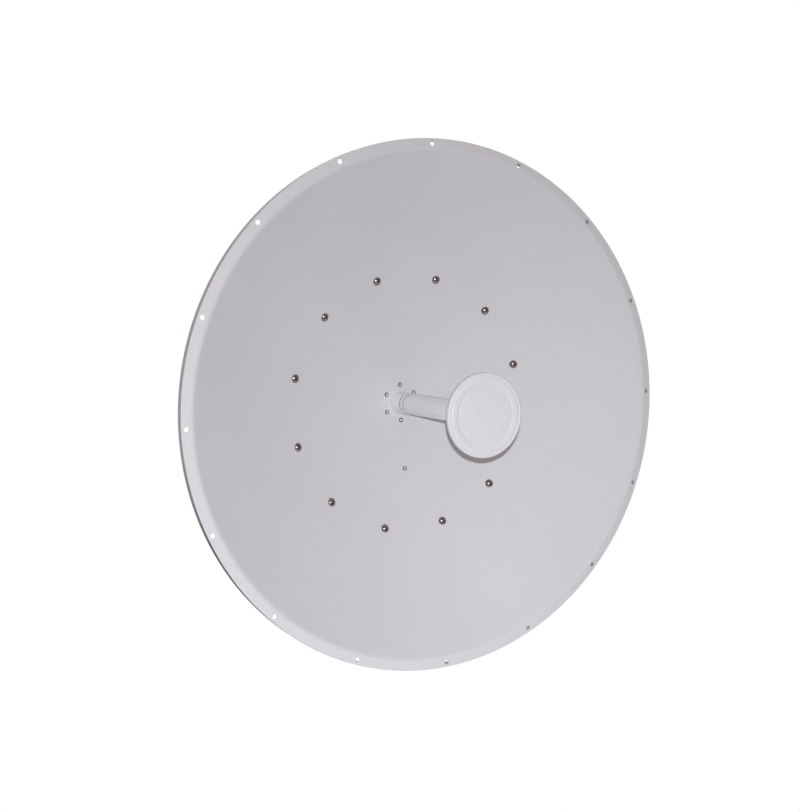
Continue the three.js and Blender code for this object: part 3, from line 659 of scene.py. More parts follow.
def nut(flats, bore, low, high):
    """A hexagon nut, chamfered at both ends, with a countersunk bore."""
    sink = 0.8 * MM
    rows = [round_row(bore, (low + high) / 2), round_row(bore, low + sink), round_row(bore + sink, low),
            round_row(0.475 * flats, low), hex_row(flats, low, -0.6), hex_row(flats, high, 0.6),
            round_row(0.475 * flats, high), round_row(bore + sink, high), round_row(bore, high - sink)]
    return skin(rows, loop=True)


def washer(radius, bore, low, high):
    edge = 0.25 * (high - low)
    return turned([(bore, low), (radius - edge, low), (radius, low + edge), (radius, high - edge),
                   (radius - edge, high), (bore, high)], loop=True)


def spring_washer(radius, bore, low, high):
    """A split ring whose two ends stand a little apart in height."""
    rows = []
    steps, gap = 40, math.radians(9)
    for k in range(steps + 1):
        turn = gap / 2 + (2 * math.pi - gap) * k / steps
        rise = 0.45 * MM * (k / steps - 0.5)
        rows.append([(r * math.cos(turn), r * math.sin(turn), z + rise)
                     for r, z in ((bore, low), (radius, low), (radius, high), (bore, high))])
    return skin(rows)


def plain_rod(radius, low, high, chamfer=0.5 * MM, sides=32):
    return turned([(radius - chamfer, low), (radius, low + chamfer), (radius, high - chamfer),
                   (radius - chamfer, high)], sides=sides)


class Bolt:
    """Sizes in mm of one metric hexagon bolt, and the pieces made from them; the shank runs along -Z."""

    def __init__(self, *sizes):
        (self.radius, self.pitch, self.flats, self.head, self.nut_height, self.washer_r,
         self.washer_t) = mm(*sizes)

    def washer(self, low):
        return washer(self.washer_r, self.radius + 0.4 * MM, low, low + self.washer_t)

    def bolt(self, length, thread_length, washer_under=True):
        low = self.washer_t if washer_under else 0.0
        shank_end = thread_length - length
        parts = [hex_head(self.flats, low, low + self.head),
                 plain_rod(self.radius * 0.985, shank_end, low + 0.4 * MM),
                 thread(self.radius, self.pitch, -length + 0.5 * MM, shank_end)]
        return merged(*parts, *([self.washer(0)] if washer_under else []))

    def nut_set(self, split=True):
        """Washer, split washer and nut, from z = 0 downwards."""
        flat, top = -self.washer_t, -self.washer_t
        parts = [self.washer(flat)]
        if split:
            top -= 0.28 * self.radius
            parts.append(spring_washer(1.65 * self.radius, self.radius + 0.2 * MM, top, flat))
        parts.append(nut(self.flats, self.radius * 0.98, top - self.nut_height, top - 0.1 * MM))
        return merged(*parts)


M16 = Bolt(8, 2.0, 24, 10, 13, 15, 3)
M12 = Bolt(6, 1.75, 18, 7.5, 10.5, 12, 2.5)
M10 = Bolt(5, 1.5, 17, 6.4, 8, 10, 2)
M8 = Bolt(4, 1.25, 13, 5.3, 6.5, 8, 1.6)


def domed_screw(name, head_r, head_h, shank_r, length):
    """A smooth domed screw: a ball's cap, an edge rounded into it, and a threaded shank down -Z."""
    steps, ball, lean = 9, 1.18 * head_r, math.radians(54)
    edge = (head_r - ball * math.sin(lean)) / (1 - math.sin(lean))
    foot = max(0.02 * head_h, head_h - ball * (1 - math.cos(lean)) - edge * math.cos(lean))
    profile = [(shank_r, 0.1 * head_h), (head_r - 0.06 * head_h, 0)]
    for k in range(steps + 1):
        turn = math.pi / 2 + (lean - math.pi / 2) * k / steps
        profile.append((head_r - edge * (1 - math.sin(turn)), foot + edge * math.cos(turn)))
    for k in range(1, steps + 1):
        turn = lean * (1 - 0.98 * k / steps)
        profile.append((ball * math.sin(turn), head_h - ball * (1 - math.cos(turn))))
    shank = thread(shank_r, 0.3 * shank_r, -length + 0.5 * MM, 0.5 * MM)
    return mesh_of(name, *merged(turned(profile), shank))


def hardware(name, form, body, node=(), place=None):
    return piece(name, form, ZINC, body, node, place)


ring_turns = [(i + 0.5) * 2 * math.pi / RING_BOLTS for i in range(RING_BOLTS)]
ring_screw = domed_screw("ring_screw", 9.8 * MM, 6.2 * MM, 4 * MM, 22 * MM)
for i, turn in enumerate(ring_turns):
    piece(f"ring_screw_{i + 1:02d}", ring_screw, STAINLESS, "reflector_frame", f"ring_bolt_{i + 1:02d}",
          on_surface(RING_BOLT_CIRCLE, turn, 0.05 * MM, 1.7 * i))

SEAL_THICK = 1.2 * MM
seal_washer = washer(5 * MM, 2.3 * MM, -SEAL_THICK, 0)
small_screw = domed_screw("small_screw", 3.2 * MM, 2.6 * MM, 2.2 * MM, 12 * MM)
small_screws = [(f"feed_screw_{i + 1}", f"hub_screw_{i + 1}",
                 on_surface(HUB_SCREW_CIRCLE, i * 2 * math.pi / HUB_SCREWS, SEAL_THICK, 2.3 * i))
                for i in range(HUB_SCREWS)]
small_screws.append(("earthing_screw", "earth_screw",
                     on_surface(EARTH_SCREW_RADIUS, math.pi, SEAL_THICK, 0.6)))
for name, node, place in small_screws:
    piece(name, small_screw, BRIGHT, "reflector_frame", node, place)
piece("screw_sealing_rings", merged(*((*seal_washer, place) for *_, place in small_screws)), RUBBER,
      "reflector_frame")

# ---- feed ------------------------------------------------------------------

BORE_R = 19.5 * MM
SPIGOT_R = 22 * MM
SEAM = 2.3 * MM
REAR_SEAM = 3.0 * MM
CAP_PROUD = 0.7 * MM
CAP_DRAWN_R = 90           # radius in mm that the cap's section is drawn at


def cap():
    """The cap: a rounded edge, a raised bead between two grooves, and a flat middle set slightly back."""
    face = [(0, 1.3), (60, 1.3), (63.4, 1.36), (64.6, 1.6), (65.8, 1.55), (67.2, 0.95), (69.2, 0.42),
            (75, 0.38), (78, 0), (80.6, 0.12), (81.4, 0.5), (81.8, 1.6), (83.6, 1.6), (84.1, 0.6),
            (85, 0.2), (87.9, 0.35), (89.4, 1.6), (90, 3.6), (90, 11.2), (89.2, 12), (87.6, 12),
            (87, 11.2), (87, 4.2), (86, 3.1), (0, 3.1)]
    scale = (CAP_HIGH.x + CAP_PROUD) / CAP_DRAWN_R
    return lathe([(r * scale, CAP_LOW.y + y * MM) for r, y in face], 160, closed=False)


def dielectric():
    """A stepped flare from the tube's mouth to the sub-reflector, and a plug inside the tube."""
    front, mouth = CONE_LOW.y, TUBE_LOW.y
    flare = [(0, front), (CONE_HIGH.x, front), (CONE_HIGH.x, front + 3.5 * MM), (58 * MM, front + 5.5 * MM),
             (57 * MM, front + 8.5 * MM), (44 * MM, front + 11 * MM), (43 * MM, front + 13 * MM),
             (30 * MM, mouth - 3.5 * MM), (TUBE_R - 0.6 * MM, mouth - GAP), (19.2 * MM, mouth - GAP),
             (15.5 * MM, CONE_HIGH.y), (0, CONE_HIGH.y)]
    return lathe(fillet(flare, 0.7 * MM, closed=False), 96, closed=False)


def tube_ring(inner, outer, low, high, radius=0.5 * MM):
    return lathe(fillet(rectangle(inner, low, outer, high), radius), 64)


def stepped_ring(inner, first_outer, second_outer, low, step, high):
    """A ring about Y that changes its outer radius at a step."""
    outline = [(inner, low), (first_outer, low), (first_outer, step), (second_outer, step),
               (second_outer, high), (inner, high)]
    return lathe(fillet(outline, 0.5 * MM), 64)


plate_outline = fillet(rectangle(0, PLATE_LOW.y, PLATE_HIGH.x, PLATE_HIGH.y), 0.5 * MM, closed=False)
spigot = SPIGOT_R + GAP
seam_y, ring_end = LOCK_LOW.y - GAP - SEAM, LOCK_HIGH.y - REAR_SEAM
seals = [tube_ring(spigot, TUBE_R - 0.15 * MM, low, high, 0.3 * MM)
         for low, high in ((seam_y, LOCK_LOW.y), (ring_end, LOCK_HIGH.y))]
piece("cap", cap(), PLASTIC, "feed", "feed_cap", sharp=60)
piece("sub_reflector_plate", lathe(plate_outline, 120, closed=False), TUBE, "feed", "subreflector")
piece("dielectric_flare", dielectric(), PLASTIC, "feed", "dielectric_cone")
piece("waveguide_tube", stepped_ring(BORE_R, TUBE_R, SPIGOT_R, TUBE_LOW.y, seam_y, TUBE_HIGH.y), TUBE, "feed",
      "feed_tube")
piece("tube_joint_ring", tube_ring(spigot, TUBE_R + 0.15 * MM, LOCK_LOW.y, ring_end), TUBE, "feed",
      "feed_lock_ring")
piece("tube_seals", merged(*seals), RUBBER, "feed")
piece("feed_base_flange", stepped_ring(spigot, TUBE_R, FLANGE_HIGH.x, FLANGE_LOW.y, FLANGE_HIGH.y - 8 * MM,
                                       FLANGE_HIGH.y), TUBE, "reflector_frame", "feed_flange")
piece("gasket", tube_ring(26 * MM, GASKET_HIGH.x, GASKET_LOW.y, GASKET_HIGH.y, 0.8 * MM), RUBBER,
      "reflector_frame", "hub_gasket")

RING_GRIP = 2 * SHEET + GAP + 0.3 * MM
ring_nut = mesh_of("ring_nut", *M8.nut_set(split=False))
for i, turn in enumerate(ring_turns):
    piece(f"ring_nut_{i + 1:02d}", ring_nut, ZINC, "reflector_frame", (),
          on_surface(RING_BOLT_CIRCLE, turn, -RING_GRIP, 0.9 * i))

# ---- ears ------------------------------------------------------------------

LOCK_RADIUS = 75 * MM
EAR_BOLT_X = 102 * MM
EAR_BOLT_Z = 240 * MM


def lock_slot():
    """The arc slot, about the elevation axis, that the lock bolt rides in."""
    half, sweep, up = M12_HOLE, math.radians(16), math.pi / 2
    here = (PIVOT.y, 0)
    first, last = (arc(here, LOCK_RADIUS, up + side * sweep, 0, 1)[0] for side in (-1, 1))
    return (arc(here, LOCK_RADIUS + half, up - sweep, up + sweep, 16)
            + arc(last, half, up + sweep, up + sweep + math.pi)
            + arc(here, LOCK_RADIUS - half, up + sweep, up - sweep, 16)
            + arc(first, half, up - sweep + math.pi, up - sweep + 2 * math.pi))


def ear(side):
    """A bent plate: its foot lies on the ring and its web carries the pivot, the slot and the link bar."""
    inner, foot_y, top, tip = EAR_LOW.x, EAR_LOW.y, EAR_HIGH.z, EAR_HIGH.y + 5 * MM
    angle = [(EAR_HIGH.x, foot_y), (EAR_HIGH.x, foot_y + PLATE), (inner + PLATE, foot_y + PLATE),
             (inner + PLATE, tip), (inner, tip), (inner, foot_y)]
    angle = fillet(angle, mm(0, 0, 4, 0, 0, 9), steps=7)
    edge = [(foot_y - 1 * MM, -top), (foot_y + 18 * MM, -top), (-240 * MM, -140 * MM), (-182 * MM, -45 * MM),
            (-178 * MM, 90 * MM), (-198 * MM, 108 * MM), (foot_y + 18 * MM, top), (foot_y - 1 * MM, top)]
    edge = fillet(edge, mm(0, 14, 60, 30, 14, 14, 14, 0), steps=8)
    whole = carve(mesh_of("ear", *extruded(angle, "z", -top, top)),
                  mesh_of("edge", *extruded(edge, "x", inner - 10 * MM, EAR_HIGH.x + 10 * MM)), "INTERSECT")
    link_hole = circle((LINK_EYE.y, LINK_EYE.z), BAR_R + 0.4 * MM)
    holes = [extruded(outline, "x", inner - 5 * MM, inner + 12 * MM)
             for outline in (circle((PIVOT.y, 0), M16_HOLE), link_hole, lock_slot())]
    holes += [extruded(circle((z, EAR_BOLT_X), 5.5 * MM, 32), "y", foot_y - 5 * MM, foot_y + 15 * MM)
              for z in (-EAR_BOLT_Z, EAR_BOLT_Z)]
    whole = cut(whole, holes)
    if side < 0:
        whole.transform(Matrix.Scale(-1, 4, (1, 0, 0)))
        whole.flip_normals()
    return whole


HANDS = ((-1, "left"), (1, "right"))
for side, hand in HANDS:
    soften(piece(f"side_ear_{hand}", ear(side), GALVANISED, "reflector_frame", f"ear_{hand}"), 0.7 * MM)

for i, (x, z) in enumerate((x, z) for x in (-EAR_BOLT_X, EAR_BOLT_X) for z in (-EAR_BOLT_Z, EAR_BOLT_Z)):
    hardware(f"foot_bolt_{i + 1}", M10.bolt(24 * MM, 18 * MM, False), "reflector_frame", f"ear_bolt_{i + 1}",
             along((x, EAR_LOW.y + PLATE + GAP, z), (0, 1, 0), 0.5 * i))
    hardware(f"foot_nut_{i + 1}", M10.nut_set(), "reflector_frame", (),
             along((x, RING_REAR_FRONT_Y - 0.2 * MM, z), (0, 1, 0), 0.7 * i))


def cross_bar():
    """The link bar between the ears, with a turned groove and a ring clip outside each ear."""
    half = (BAR_HIGH.x - BAR_LOW.x) / 2
    clips = (-half + 4 * MM, half - 4 * MM)
    profile = [(BAR_R - 1 * MM, -half), (BAR_R, 1 * MM - half)]
    for x in clips:
        profile += [(BAR_R, x - 0.8 * MM), (BAR_R - 1 * MM, x - 0.7 * MM), (BAR_R - 1 * MM, x + 0.7 * MM),
                    (BAR_R, x + 0.8 * MM)]
    profile += [(BAR_R, half - 1 * MM), (BAR_R - 1 * MM, half)]
    rings = [spring_washer(BAR_R + 3 * MM, BAR_R - 0.8 * MM, x - 0.5 * MM, x + 0.5 * MM) for x in clips]
    return merged(turned(profile), *rings)


hardware("link_bar", cross_bar(), "reflector_frame", "elevation_bar", along(LINK_EYE, (1, 0, 0)))

# ---- yoke ------------------------------------------------------------------


def weld(start, end, leg_a, leg_b, size=4.5 * MM):
    """A rippled fillet bead in the corner between two faces; its legs point along them, off the corner."""
    start, end, leg_a, leg_b = (Vector(v) for v in (start, end, leg_a, leg_b))
    length = (end - start).length
    steps = max(4, round(length / (1.1 * MM)))
    rows = []
    for i in range(steps + 1):
        t = i / steps
        fade = min(1.0, 0.35 + 6 * min(t, 1 - t) * length / (25 * MM))
        here = start + (end - start) * t
        ripple = 1 + 0.07 * math.sin(i * 1.9) + 0.05 * math.sin(i * 0.37 + 1.0)
        row = [here - (leg_a + leg_b) * 0.3 * MM]
        for k in range(6):
            turn = math.pi / 2 * k / 5
            reach = size * fade * ripple * (0.80 + 0.20 * abs(math.cos(2 * turn)))
            row.append(here + (leg_a * math.cos(turn) + leg_b * math.sin(turn)) * reach)
        rows.append([tuple(p) for p in row])
    return skin(rows)


YOKE_IN_X = YOKE_HIGH.x - PLATE
WAIST_Y = -192 * MM


def yoke_flange(tip, low):
    """A plate of the yoke across its two cheeks, narrower towards its front edge."""
    out, rear = YOKE_HIGH.x, YOKE_HIGH.y
    outline = mirrored([(-out, rear), (-out, WAIST_Y), (-45 * MM, tip)])
    return extruded(fillet(outline, mm(0, 0, 14, 14, 0, 0), steps=6), "z", low, low + PLATE)


def yoke():
    out, top, rear, front = YOKE_HIGH.x, YOKE_HIGH.z, YOKE_HIGH.y, YOKE_LOW.y
    cheek = [(rear, -top), (rear, top), (-205 * MM, top), (front, 98 * MM), (front, -45 * MM), (WAIST_Y, -top)]
    cheek = fillet(cheek, mm(3, 3, 12, 16, 25, 12), steps=6)
    plates = [extruded(cheek, "x", YOKE_IN_X, out), extruded(cheek, "x", -out, -YOKE_IN_X),
              yoke_flange(-242 * MM, top - PLATE), yoke_flange(-193 * MM, -top)]
    across = [(PIVOT.y, 0, M16_HOLE), (PIVOT.y, LOCK_RADIUS, M12_HOLE), (TRUNNION.y, TRUNNION.z, 9.4 * MM)]
    holes = [extruded(circle((y, z), r), "x", -out - 5 * MM, out + 5 * MM) for y, z, r in across]
    holes += [extruded(circle((0, SWIVEL.y), M16_HOLE), "z", -top - 5 * MM, top + 5 * MM),
              extruded(circle((AZ_EYE.x, AZ_EYE.y), M12_HOLE), "z", top - 20 * MM, top + 20 * MM)]
    return fabricated("yoke", plates, holes)


def yoke_welds():
    beads = []
    for side in (-1, 1):
        for level, tip, into in ((YOKE_HIGH.z - PLATE, -200 * MM, -1), (PLATE - YOKE_HIGH.z, -186 * MM, 1)):
            beads.append(weld((side * YOKE_IN_X, YOKE_HIGH.y - 4 * MM, level), (side * YOKE_IN_X, tip, level),
                              (-side, 0, 0), (0, 0, into)))
    return merged(*beads)


soften(piece("swivel_yoke", yoke(), GALVANISED, "yoke", "yoke"), 0.8 * MM)
piece("yoke_weld_beads", yoke_welds(), GALVANISED, "yoke", sharp=50)

ear_out = EAR_LOW.x + PLATE
for side, hand in HANDS:
    for label, size, z, length in (("pivot", M16, 0, 38 * MM), ("lock", M12, LOCK_RADIUS, 34 * MM)):
        hardware(f"{label}_screw_{hand}", size.bolt(length, 0.75 * length), "yoke", f"{label}_bolt_{hand}",
                 along((side * (ear_out + GAP), PIVOT.y, z), (side, 0, 0), 0.4))
        hardware(f"{label}_nut_{hand}", size.nut_set(), "yoke", (),
                 along((side * (YOKE_IN_X - 0.2 * MM), PIVOT.y, z), (side, 0, 0), 0.2))

# ---- elevation rod and trunnion --------------------------------------------

ROD_R = 5 * MM
ROD_PITCH = 1.5 * MM
ROD_BORE = ROD_R + 0.6 * MM
ROD_NUT_FLATS = 17 * MM


def eye_rod(eye_r, pin_r, thick, length):
    """An eye about local Y with a forged neck, and a threaded rod along local +Z."""
    edge, mouth, half = 1.2 * MM, 0.6 * MM, thick / 2
    ring = [(pin_r, -half + mouth), (pin_r + mouth, -half), (eye_r - edge, -half), (eye_r, -half + edge),
            (eye_r, half - edge), (eye_r - edge, half), (pin_r + mouth, half), (pin_r, half - mouth)]
    neck = [(0.40 * thick, eye_r - 4 * MM), (0.44 * thick, eye_r), (ROD_R * 1.18, eye_r + 7 * MM),
            (ROD_R * 1.05, eye_r + 9 * MM)]
    whole = carve(mesh_of("eye", *lathe(ring, 64)), mesh_of("neck", *turned(neck, sides=32)), "UNION")
    points = [tuple(v.co) for v in whole.vertices]
    faces = [tuple(p.vertices) for p in whole.polygons]
    return merged((points, faces), thread(ROD_R, ROD_PITCH, eye_r + 8 * MM, length - 0.5 * MM))


def rounded_block(half_u, half_v, radius):
    return fillet(rectangle(-half_u, -half_v, half_u, half_v), radius)


def trunnion_block(half_x, pin_r, pin_low, pin_high):
    """A block on local axes with a rod bore along Z and a pin along X."""
    half_y = half_z = 12 * MM
    block = mesh_of("block", *extruded(rounded_block(half_y, half_z, 2 * MM), "x", -half_x, half_x))
    points, faces = turned([(pin_r - 1 * MM, pin_low), (pin_r, pin_low + 1 * MM), (pin_r, pin_high - 1 * MM),
                            (pin_r - 1 * MM, pin_high)])
    pin = mesh_of("pin", [(z, y, -x) for x, y, z in points], faces)
    return cut(carve(block, pin, "UNION"), [extruded(circle((0, 0), ROD_BORE), "z", -2 * half_z, 2 * half_z)])


hardware("tilt_rod", eye_rod(16 * MM, BAR_R + 0.4 * MM, 14 * MM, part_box("elevation_rod")[1].y - LINK_EYE.y),
         "elevation_rod", "elevation_rod", axes((0, 0, -1), (-1, 0, 0), (0, 1, 0), LINK_EYE))
pin_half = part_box("elevation_trunnion")[1].x
tilt_trunnion = piece("tilt_trunnion", trunnion_block(14 * MM, 9 * MM, -pin_half, pin_half), ZINC,
                      "elevation_trunnion", "elevation_trunnion",
                      axes((1, 0, 0), (0, 0, -1), (0, 1, 0), TRUNNION))
soften(tilt_trunnion, 0.6 * MM)
pin_washers = merged(washer(14 * MM, 9.3 * MM, 0, 1.6 * MM),
                     spring_washer(11.5 * MM, 8.8 * MM, 2.0 * MM, 3.2 * MM))
for side, hand in HANDS:
    hardware(f"trunnion_washer_{hand}", pin_washers, "elevation_trunnion", (),
             along((side * (YOKE_HIGH.x + 0.4 * MM), TRUNNION.y, TRUNNION.z), (side, 0, 0)))
for hand in ("front", "rear"):
    nut_low, nut_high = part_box(f"elevation_nut_{hand}")
    half = (nut_high.y - nut_low.y) / 2
    hardware(f"tilt_nut_{hand}", nut(ROD_NUT_FLATS, ROD_R + 0.55 * MM, -half, half), "elevation_trunnion",
             f"elevation_nut_{hand}", along((nut_low + nut_high) / 2, (0, 1, 0), 0.3))

# ---- mast bracket ----------------------------------------------------------

MAST_R = 44.5 * MM
VEE = math.pi / 3
VEE_HALF_X = 50 * MM
VEE_APEX_Y = MAST_R / math.sin(VEE)
VEE_TIP_Y = VEE_APEX_Y - VEE_HALF_X / math.tan(VEE)
SADDLE_X = 62 * MM
SADDLE_Z = 110 * MM
SADDLE_HALF = 15 * MM
PLATE_REAR_Y = -69 * MM
PLATE_FRONT_Y = PLATE_REAR_Y - PLATE
STUD_X = 78 * MM
SHELF_TOP = 155 * MM
ARM_Z = 166 * MM
JAW_REAR_Y = 64 * MM
NUT_SEAT_Y = 50 * MM


def vee_teeth(sign):
    """The two faces that grip the mast, from left to right, with saw teeth cut into them."""
    apex, teeth = Vector((0, VEE_APEX_Y)), 9
    faces = []
    for side in (-1, 1):
        tip = Vector((side * VEE_HALF_X, VEE_TIP_Y))
        run = (apex - tip) / teeth
        inward = Vector((side * run.y, -side * run.x)).normalized()
        face = [tip]
        for k in range(1, teeth):
            here = tip + run * k
            face += [here, here + run * 0.5 + inward * 1.3 * MM]
        faces.append(face)
    return [(p.x, sign * p.y) for p in faces[0] + [apex] + faces[1][::-1]]


def bracket_plates():
    joined_y = PLATE_REAR_Y - 1 * MM          # the saddles and shelves start inside the back plate
    half_x, half_z = 95 * MM, 172 * MM
    back = rounded_block(half_z, half_x, 12 * MM)
    saddle = [(SADDLE_X, joined_y), (-SADDLE_X, joined_y), (-SADDLE_X, -VEE_TIP_Y)]
    saddle += vee_teeth(-1) + [(SADDLE_X, -VEE_TIP_Y)]
    shelf = mirrored([(-60 * MM, joined_y), (-60 * MM, -140 * MM), (-35 * MM, -162 * MM)])
    shelf = fillet(shelf, mm(0, 12, 14, 14, 12, 0), steps=5)
    arm = [(60 * MM, PLATE_REAR_Y), (60 * MM, -95 * MM), (86 * MM, -135 * MM), (86 * MM, -163 * MM),
           (114 * MM, -163 * MM), (114 * MM, -130 * MM), (half_x, PLATE_REAR_Y)]
    arm = fillet(arm, mm(0, 10, 10, 7, 7, 10, 0), steps=5)
    plates = [extruded(back, "y", PLATE_FRONT_Y, PLATE_REAR_Y)]
    plates += [extruded(saddle, "z", z - SADDLE_HALF, z + SADDLE_HALF) for z in (-SADDLE_Z, SADDLE_Z)]
    plates += [extruded(shelf, "z", low, low + PLATE) for low in (SHELF_TOP - PLATE, -SHELF_TOP)]
    return plates + [extruded(arm, "z", ARM_Z, ARM_Z + PLATE)]


def bracket():
    holes = [extruded(circle((z, x), M12_HOLE), "y", PLATE_FRONT_Y - 5 * MM, PLATE_REAR_Y + 5 * MM)
             for z in (-SADDLE_Z, SADDLE_Z) for x in (-STUD_X, STUD_X)]
    holes += [extruded(circle((0, SWIVEL.y), M16_HOLE), "z", -SHELF_TOP - 5 * MM, SHELF_TOP + 5 * MM),
              extruded(circle((AZ_TRUNNION.x, AZ_TRUNNION.y), 7.4 * MM), "z", ARM_Z - 5 * MM, ARM_Z + 15 * MM)]
    return fabricated("mast_bracket", bracket_plates(), holes)


def bracket_welds():
    """Beads along both faces of the two shelves, at the ends of the saddles and under the arm."""
    shelf, reach, y = 56 * MM, SADDLE_HALF - 1 * MM, PLATE_FRONT_Y
    faces = ((SHELF_TOP, 1), (SHELF_TOP - PLATE, -1), (-SHELF_TOP, -1), (PLATE - SHELF_TOP, 1))
    lines = [((-shelf, y, z), (shelf, y, z), (0, -1, 0), (0, 0, into)) for z, into in faces]
    for side in (-1, 1):
        x = side * SADDLE_X
        lines += [((x, PLATE_REAR_Y, z - reach), (x, PLATE_REAR_Y, z + reach), (side, 0, 0), (0, 1, 0))
                  for z in (-SADDLE_Z, SADDLE_Z)]
    lines.append(((64 * MM, y, ARM_Z), (91 * MM, y, ARM_Z), (0, -1, 0), (0, 0, -1)))
    return merged(*(weld(*line, 4 * MM) for line in lines))


def jaw(middle):
    teeth = vee_teeth(1)
    half = [(95 * MM, 30 * MM), (95 * MM, 46 * MM), (91 * MM, NUT_SEAT_Y), (65 * MM, NUT_SEAT_Y),
            (56 * MM, JAW_REAR_Y)]
    radii = mm(3, 3, 3, 5, 8)
    outline = fillet(teeth + mirrored(half), [0] * len(teeth) + radii + radii[::-1])
    holes = [extruded(circle((middle, x), M12_HOLE), "y", 0, 100 * MM) for x in (-STUD_X, STUD_X)]
    return cut(mesh_of("jaw", *extruded(outline, "z", middle - SADDLE_HALF, middle + SADDLE_HALF)), holes)


soften(piece("clamp_bracket", bracket(), GALVANISED, "mast_bracket", "mast_bracket"), 0.8 * MM)
piece("bracket_weld_beads", bracket_welds(), GALVANISED, "mast_bracket", sharp=50)
for side, level in ((1, "upper"), (-1, "lower")):
    middle = side * SADDLE_Z
    soften(piece(f"clamp_jaw_{level}", jaw(middle), GALVANISED, f"jaw_{level}", f"jaw_{level}"), 1.0 * MM, 3)
    hardware(f"swivel_screw_{level}", M16.bolt(34 * MM, 24 * MM), "mast_bracket", f"swivel_bolt_{level}",
             along((0, SWIVEL.y, side * (YOKE_HIGH.z + GAP)), (0, 0, side), 0.2))
    hardware(f"swivel_nut_{level}", M16.nut_set(False), "mast_bracket", (),
             along((0, SWIVEL.y, side * (SHELF_TOP - PLATE - 0.2 * MM)), (0, 0, side), 0.5))
    for t, hand in HANDS:
        node = f"clamp_bolt_{level}_{hand}"
        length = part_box(node)[1].y - PLATE_FRONT_Y + GAP
        hardware(f"clamp_stud_{level}_{hand}", M12.bolt(length, 120 * MM, False), "mast_bracket", node,
                 along((t * STUD_X, PLATE_FRONT_Y - GAP, middle), (0, -1, 0), 0.3))
        hardware(f"clamp_nut_{level}_{hand}", M12.nut_set(), f"jaw_{level}", (),
                 along((t * STUD_X, NUT_SEAT_Y + 0.1 * MM, middle), (0, -1, 0), 0.9))

# ---- azimuth rod -----------------------------------------------------------

AZ_TAIL = 38 * MM
AZ_EYE_THICK = 12 * MM
chord = AZ_TRUNNION - AZ_EYE
rod_way = chord.normalized()
hardware("swing_rod", eye_rod(15 * MM, M12_HOLE, AZ_EYE_THICK, chord.length + AZ_TAIL), "azimuth_rod",
         "azimuth_rod", axes((rod_way.y, -rod_way.x, 0), (0, 0, -1), rod_way, AZ_EYE))
spacer = plain_rod(10 * MM, YOKE_HIGH.z - AZ_EYE.z - AZ_EYE_THICK / 2, -AZ_EYE_THICK - 2 * GAP, 0.8 * MM)
hardware("swing_eye_bolt", merged(M12.bolt(46 * MM, 30 * MM, False), spacer), "yoke", "azimuth_eye_bolt",
         along((AZ_EYE.x, AZ_EYE.y, AZ_EYE.z + AZ_EYE_THICK / 2 + GAP), (0, 0, 1), 0.1))
hardware("swing_eye_nut", M12.nut_set(), "yoke", (),
         along((AZ_EYE.x, AZ_EYE.y, YOKE_HIGH.z - PLATE - 0.2 * MM), (0, 0, 1), 0.4))
pin_below = AZ_TRUNNION.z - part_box("azimuth_trunnion")[0].z
swing_trunnion = piece("swing_trunnion", trunnion_block(11 * MM, 7 * MM, -5 * MM, pin_below), ZINC,
                       "azimuth_trunnion", "azimuth_trunnion",
                       axes((0, 0, -1), (-rod_way.y, rod_way.x, 0), rod_way, AZ_TRUNNION))
soften(swing_trunnion, 0.6 * MM)
for label, way in (("front", -1), ("rear", 1)):
    hardware(f"swing_nut_{label}", nut(ROD_NUT_FLATS, ROD_R + 0.55 * MM, 0, 8 * MM), "azimuth_trunnion", (),
             along(AZ_TRUNNION + rod_way * way * 12.4 * MM, rod_way * way, 0.6))

# ---- waveguide body and sockets --------------------------------------------

RECESS = 3 * MM              # depth of the recesses in the block's top and left side
FLANGE_THICK = 3 * MM        # the sockets' flanges are let into its right side and underside, and end flush


def socket_screw(radius, head_r, head_h):
    """A cap screw's head with a hexagon socket, seat at z = 0."""
    key = 1.15 * radius * 1.5
    edge = 0.4 * MM
    return skin([round_row(head_r, 0), round_row(head_r, head_h - edge), round_row(head_r - edge, head_h),
                 hex_row(key, head_h), hex_row(key, 0.35 * head_h)])


def waveguide_body():
    """A milled block with a round bore in front and a shallow recess in its top and its left side."""
    front, rear, past = OMT_LOW.y, OMT_HIGH.y, OMT_HALF + 1 * MM
    waist = rectangle(front + 8 * MM, OMT_HALF - RECESS, rear - 5 * MM, OMT_HALF + 5 * MM)
    waist = fillet(waist, mm(2, 2, 0, 0))
    block = extruded(rounded_block(OMT_HALF, OMT_HALF, 3 * MM), "y", front, rear)
    return cut(mesh_of("block", *block), [
        extruded(circle((0, 0), BORE_R, 64), "y", front - 1 * MM, front + 51 * MM),
        extruded(waist, "x", -past, past),
        extruded([(-z, y) for y, z in waist], "z", -past, past)])


def waveguide_screws():
    """Screws of the rear and of the left side, and three tuning screws with nuts on the recessed top.

    The rear heads end 0.1 mm under the rear face, and the left ones stand 2.9 mm off their recess.
    """
    lid, side = socket_screw(*mm(2, 3.5, 1.5)), socket_screw(*mm(1.5, 2.75, 2.6))
    tuner = merged(nut(7 * MM, 1.9 * MM, 0, 2.4 * MM), thread(2 * MM, 0.7 * MM, 0, 4.6 * MM))
    corner = 0.78 * OMT_HALF
    forms = [(*lid, along((x * corner, OMT_HIGH.y - 1.6 * MM, z * corner), (0, 1, 0), x + z))
             for x in (-1, 1) for z in (-1, 1)]
    forms += [(*side, along((-OMT_HALF + 0.1 * MM, y * MM, z * MM), (-1, 0, 0)))
              for y in (-300, -264) for z in (-16, 16)]
    forms += [(*tuner, along((0, y * MM, OMT_HALF - RECESS - 0.1 * MM), (0, 0, 1)))
              for y in (-300, -284, -268)]
    return merged(*forms)


soften(piece("waveguide_body", waveguide_body(), ALUMINIUM, "feed", "omt_body"), 0.6 * MM)
piece("waveguide_screws", waveguide_screws(), STAINLESS, "feed")


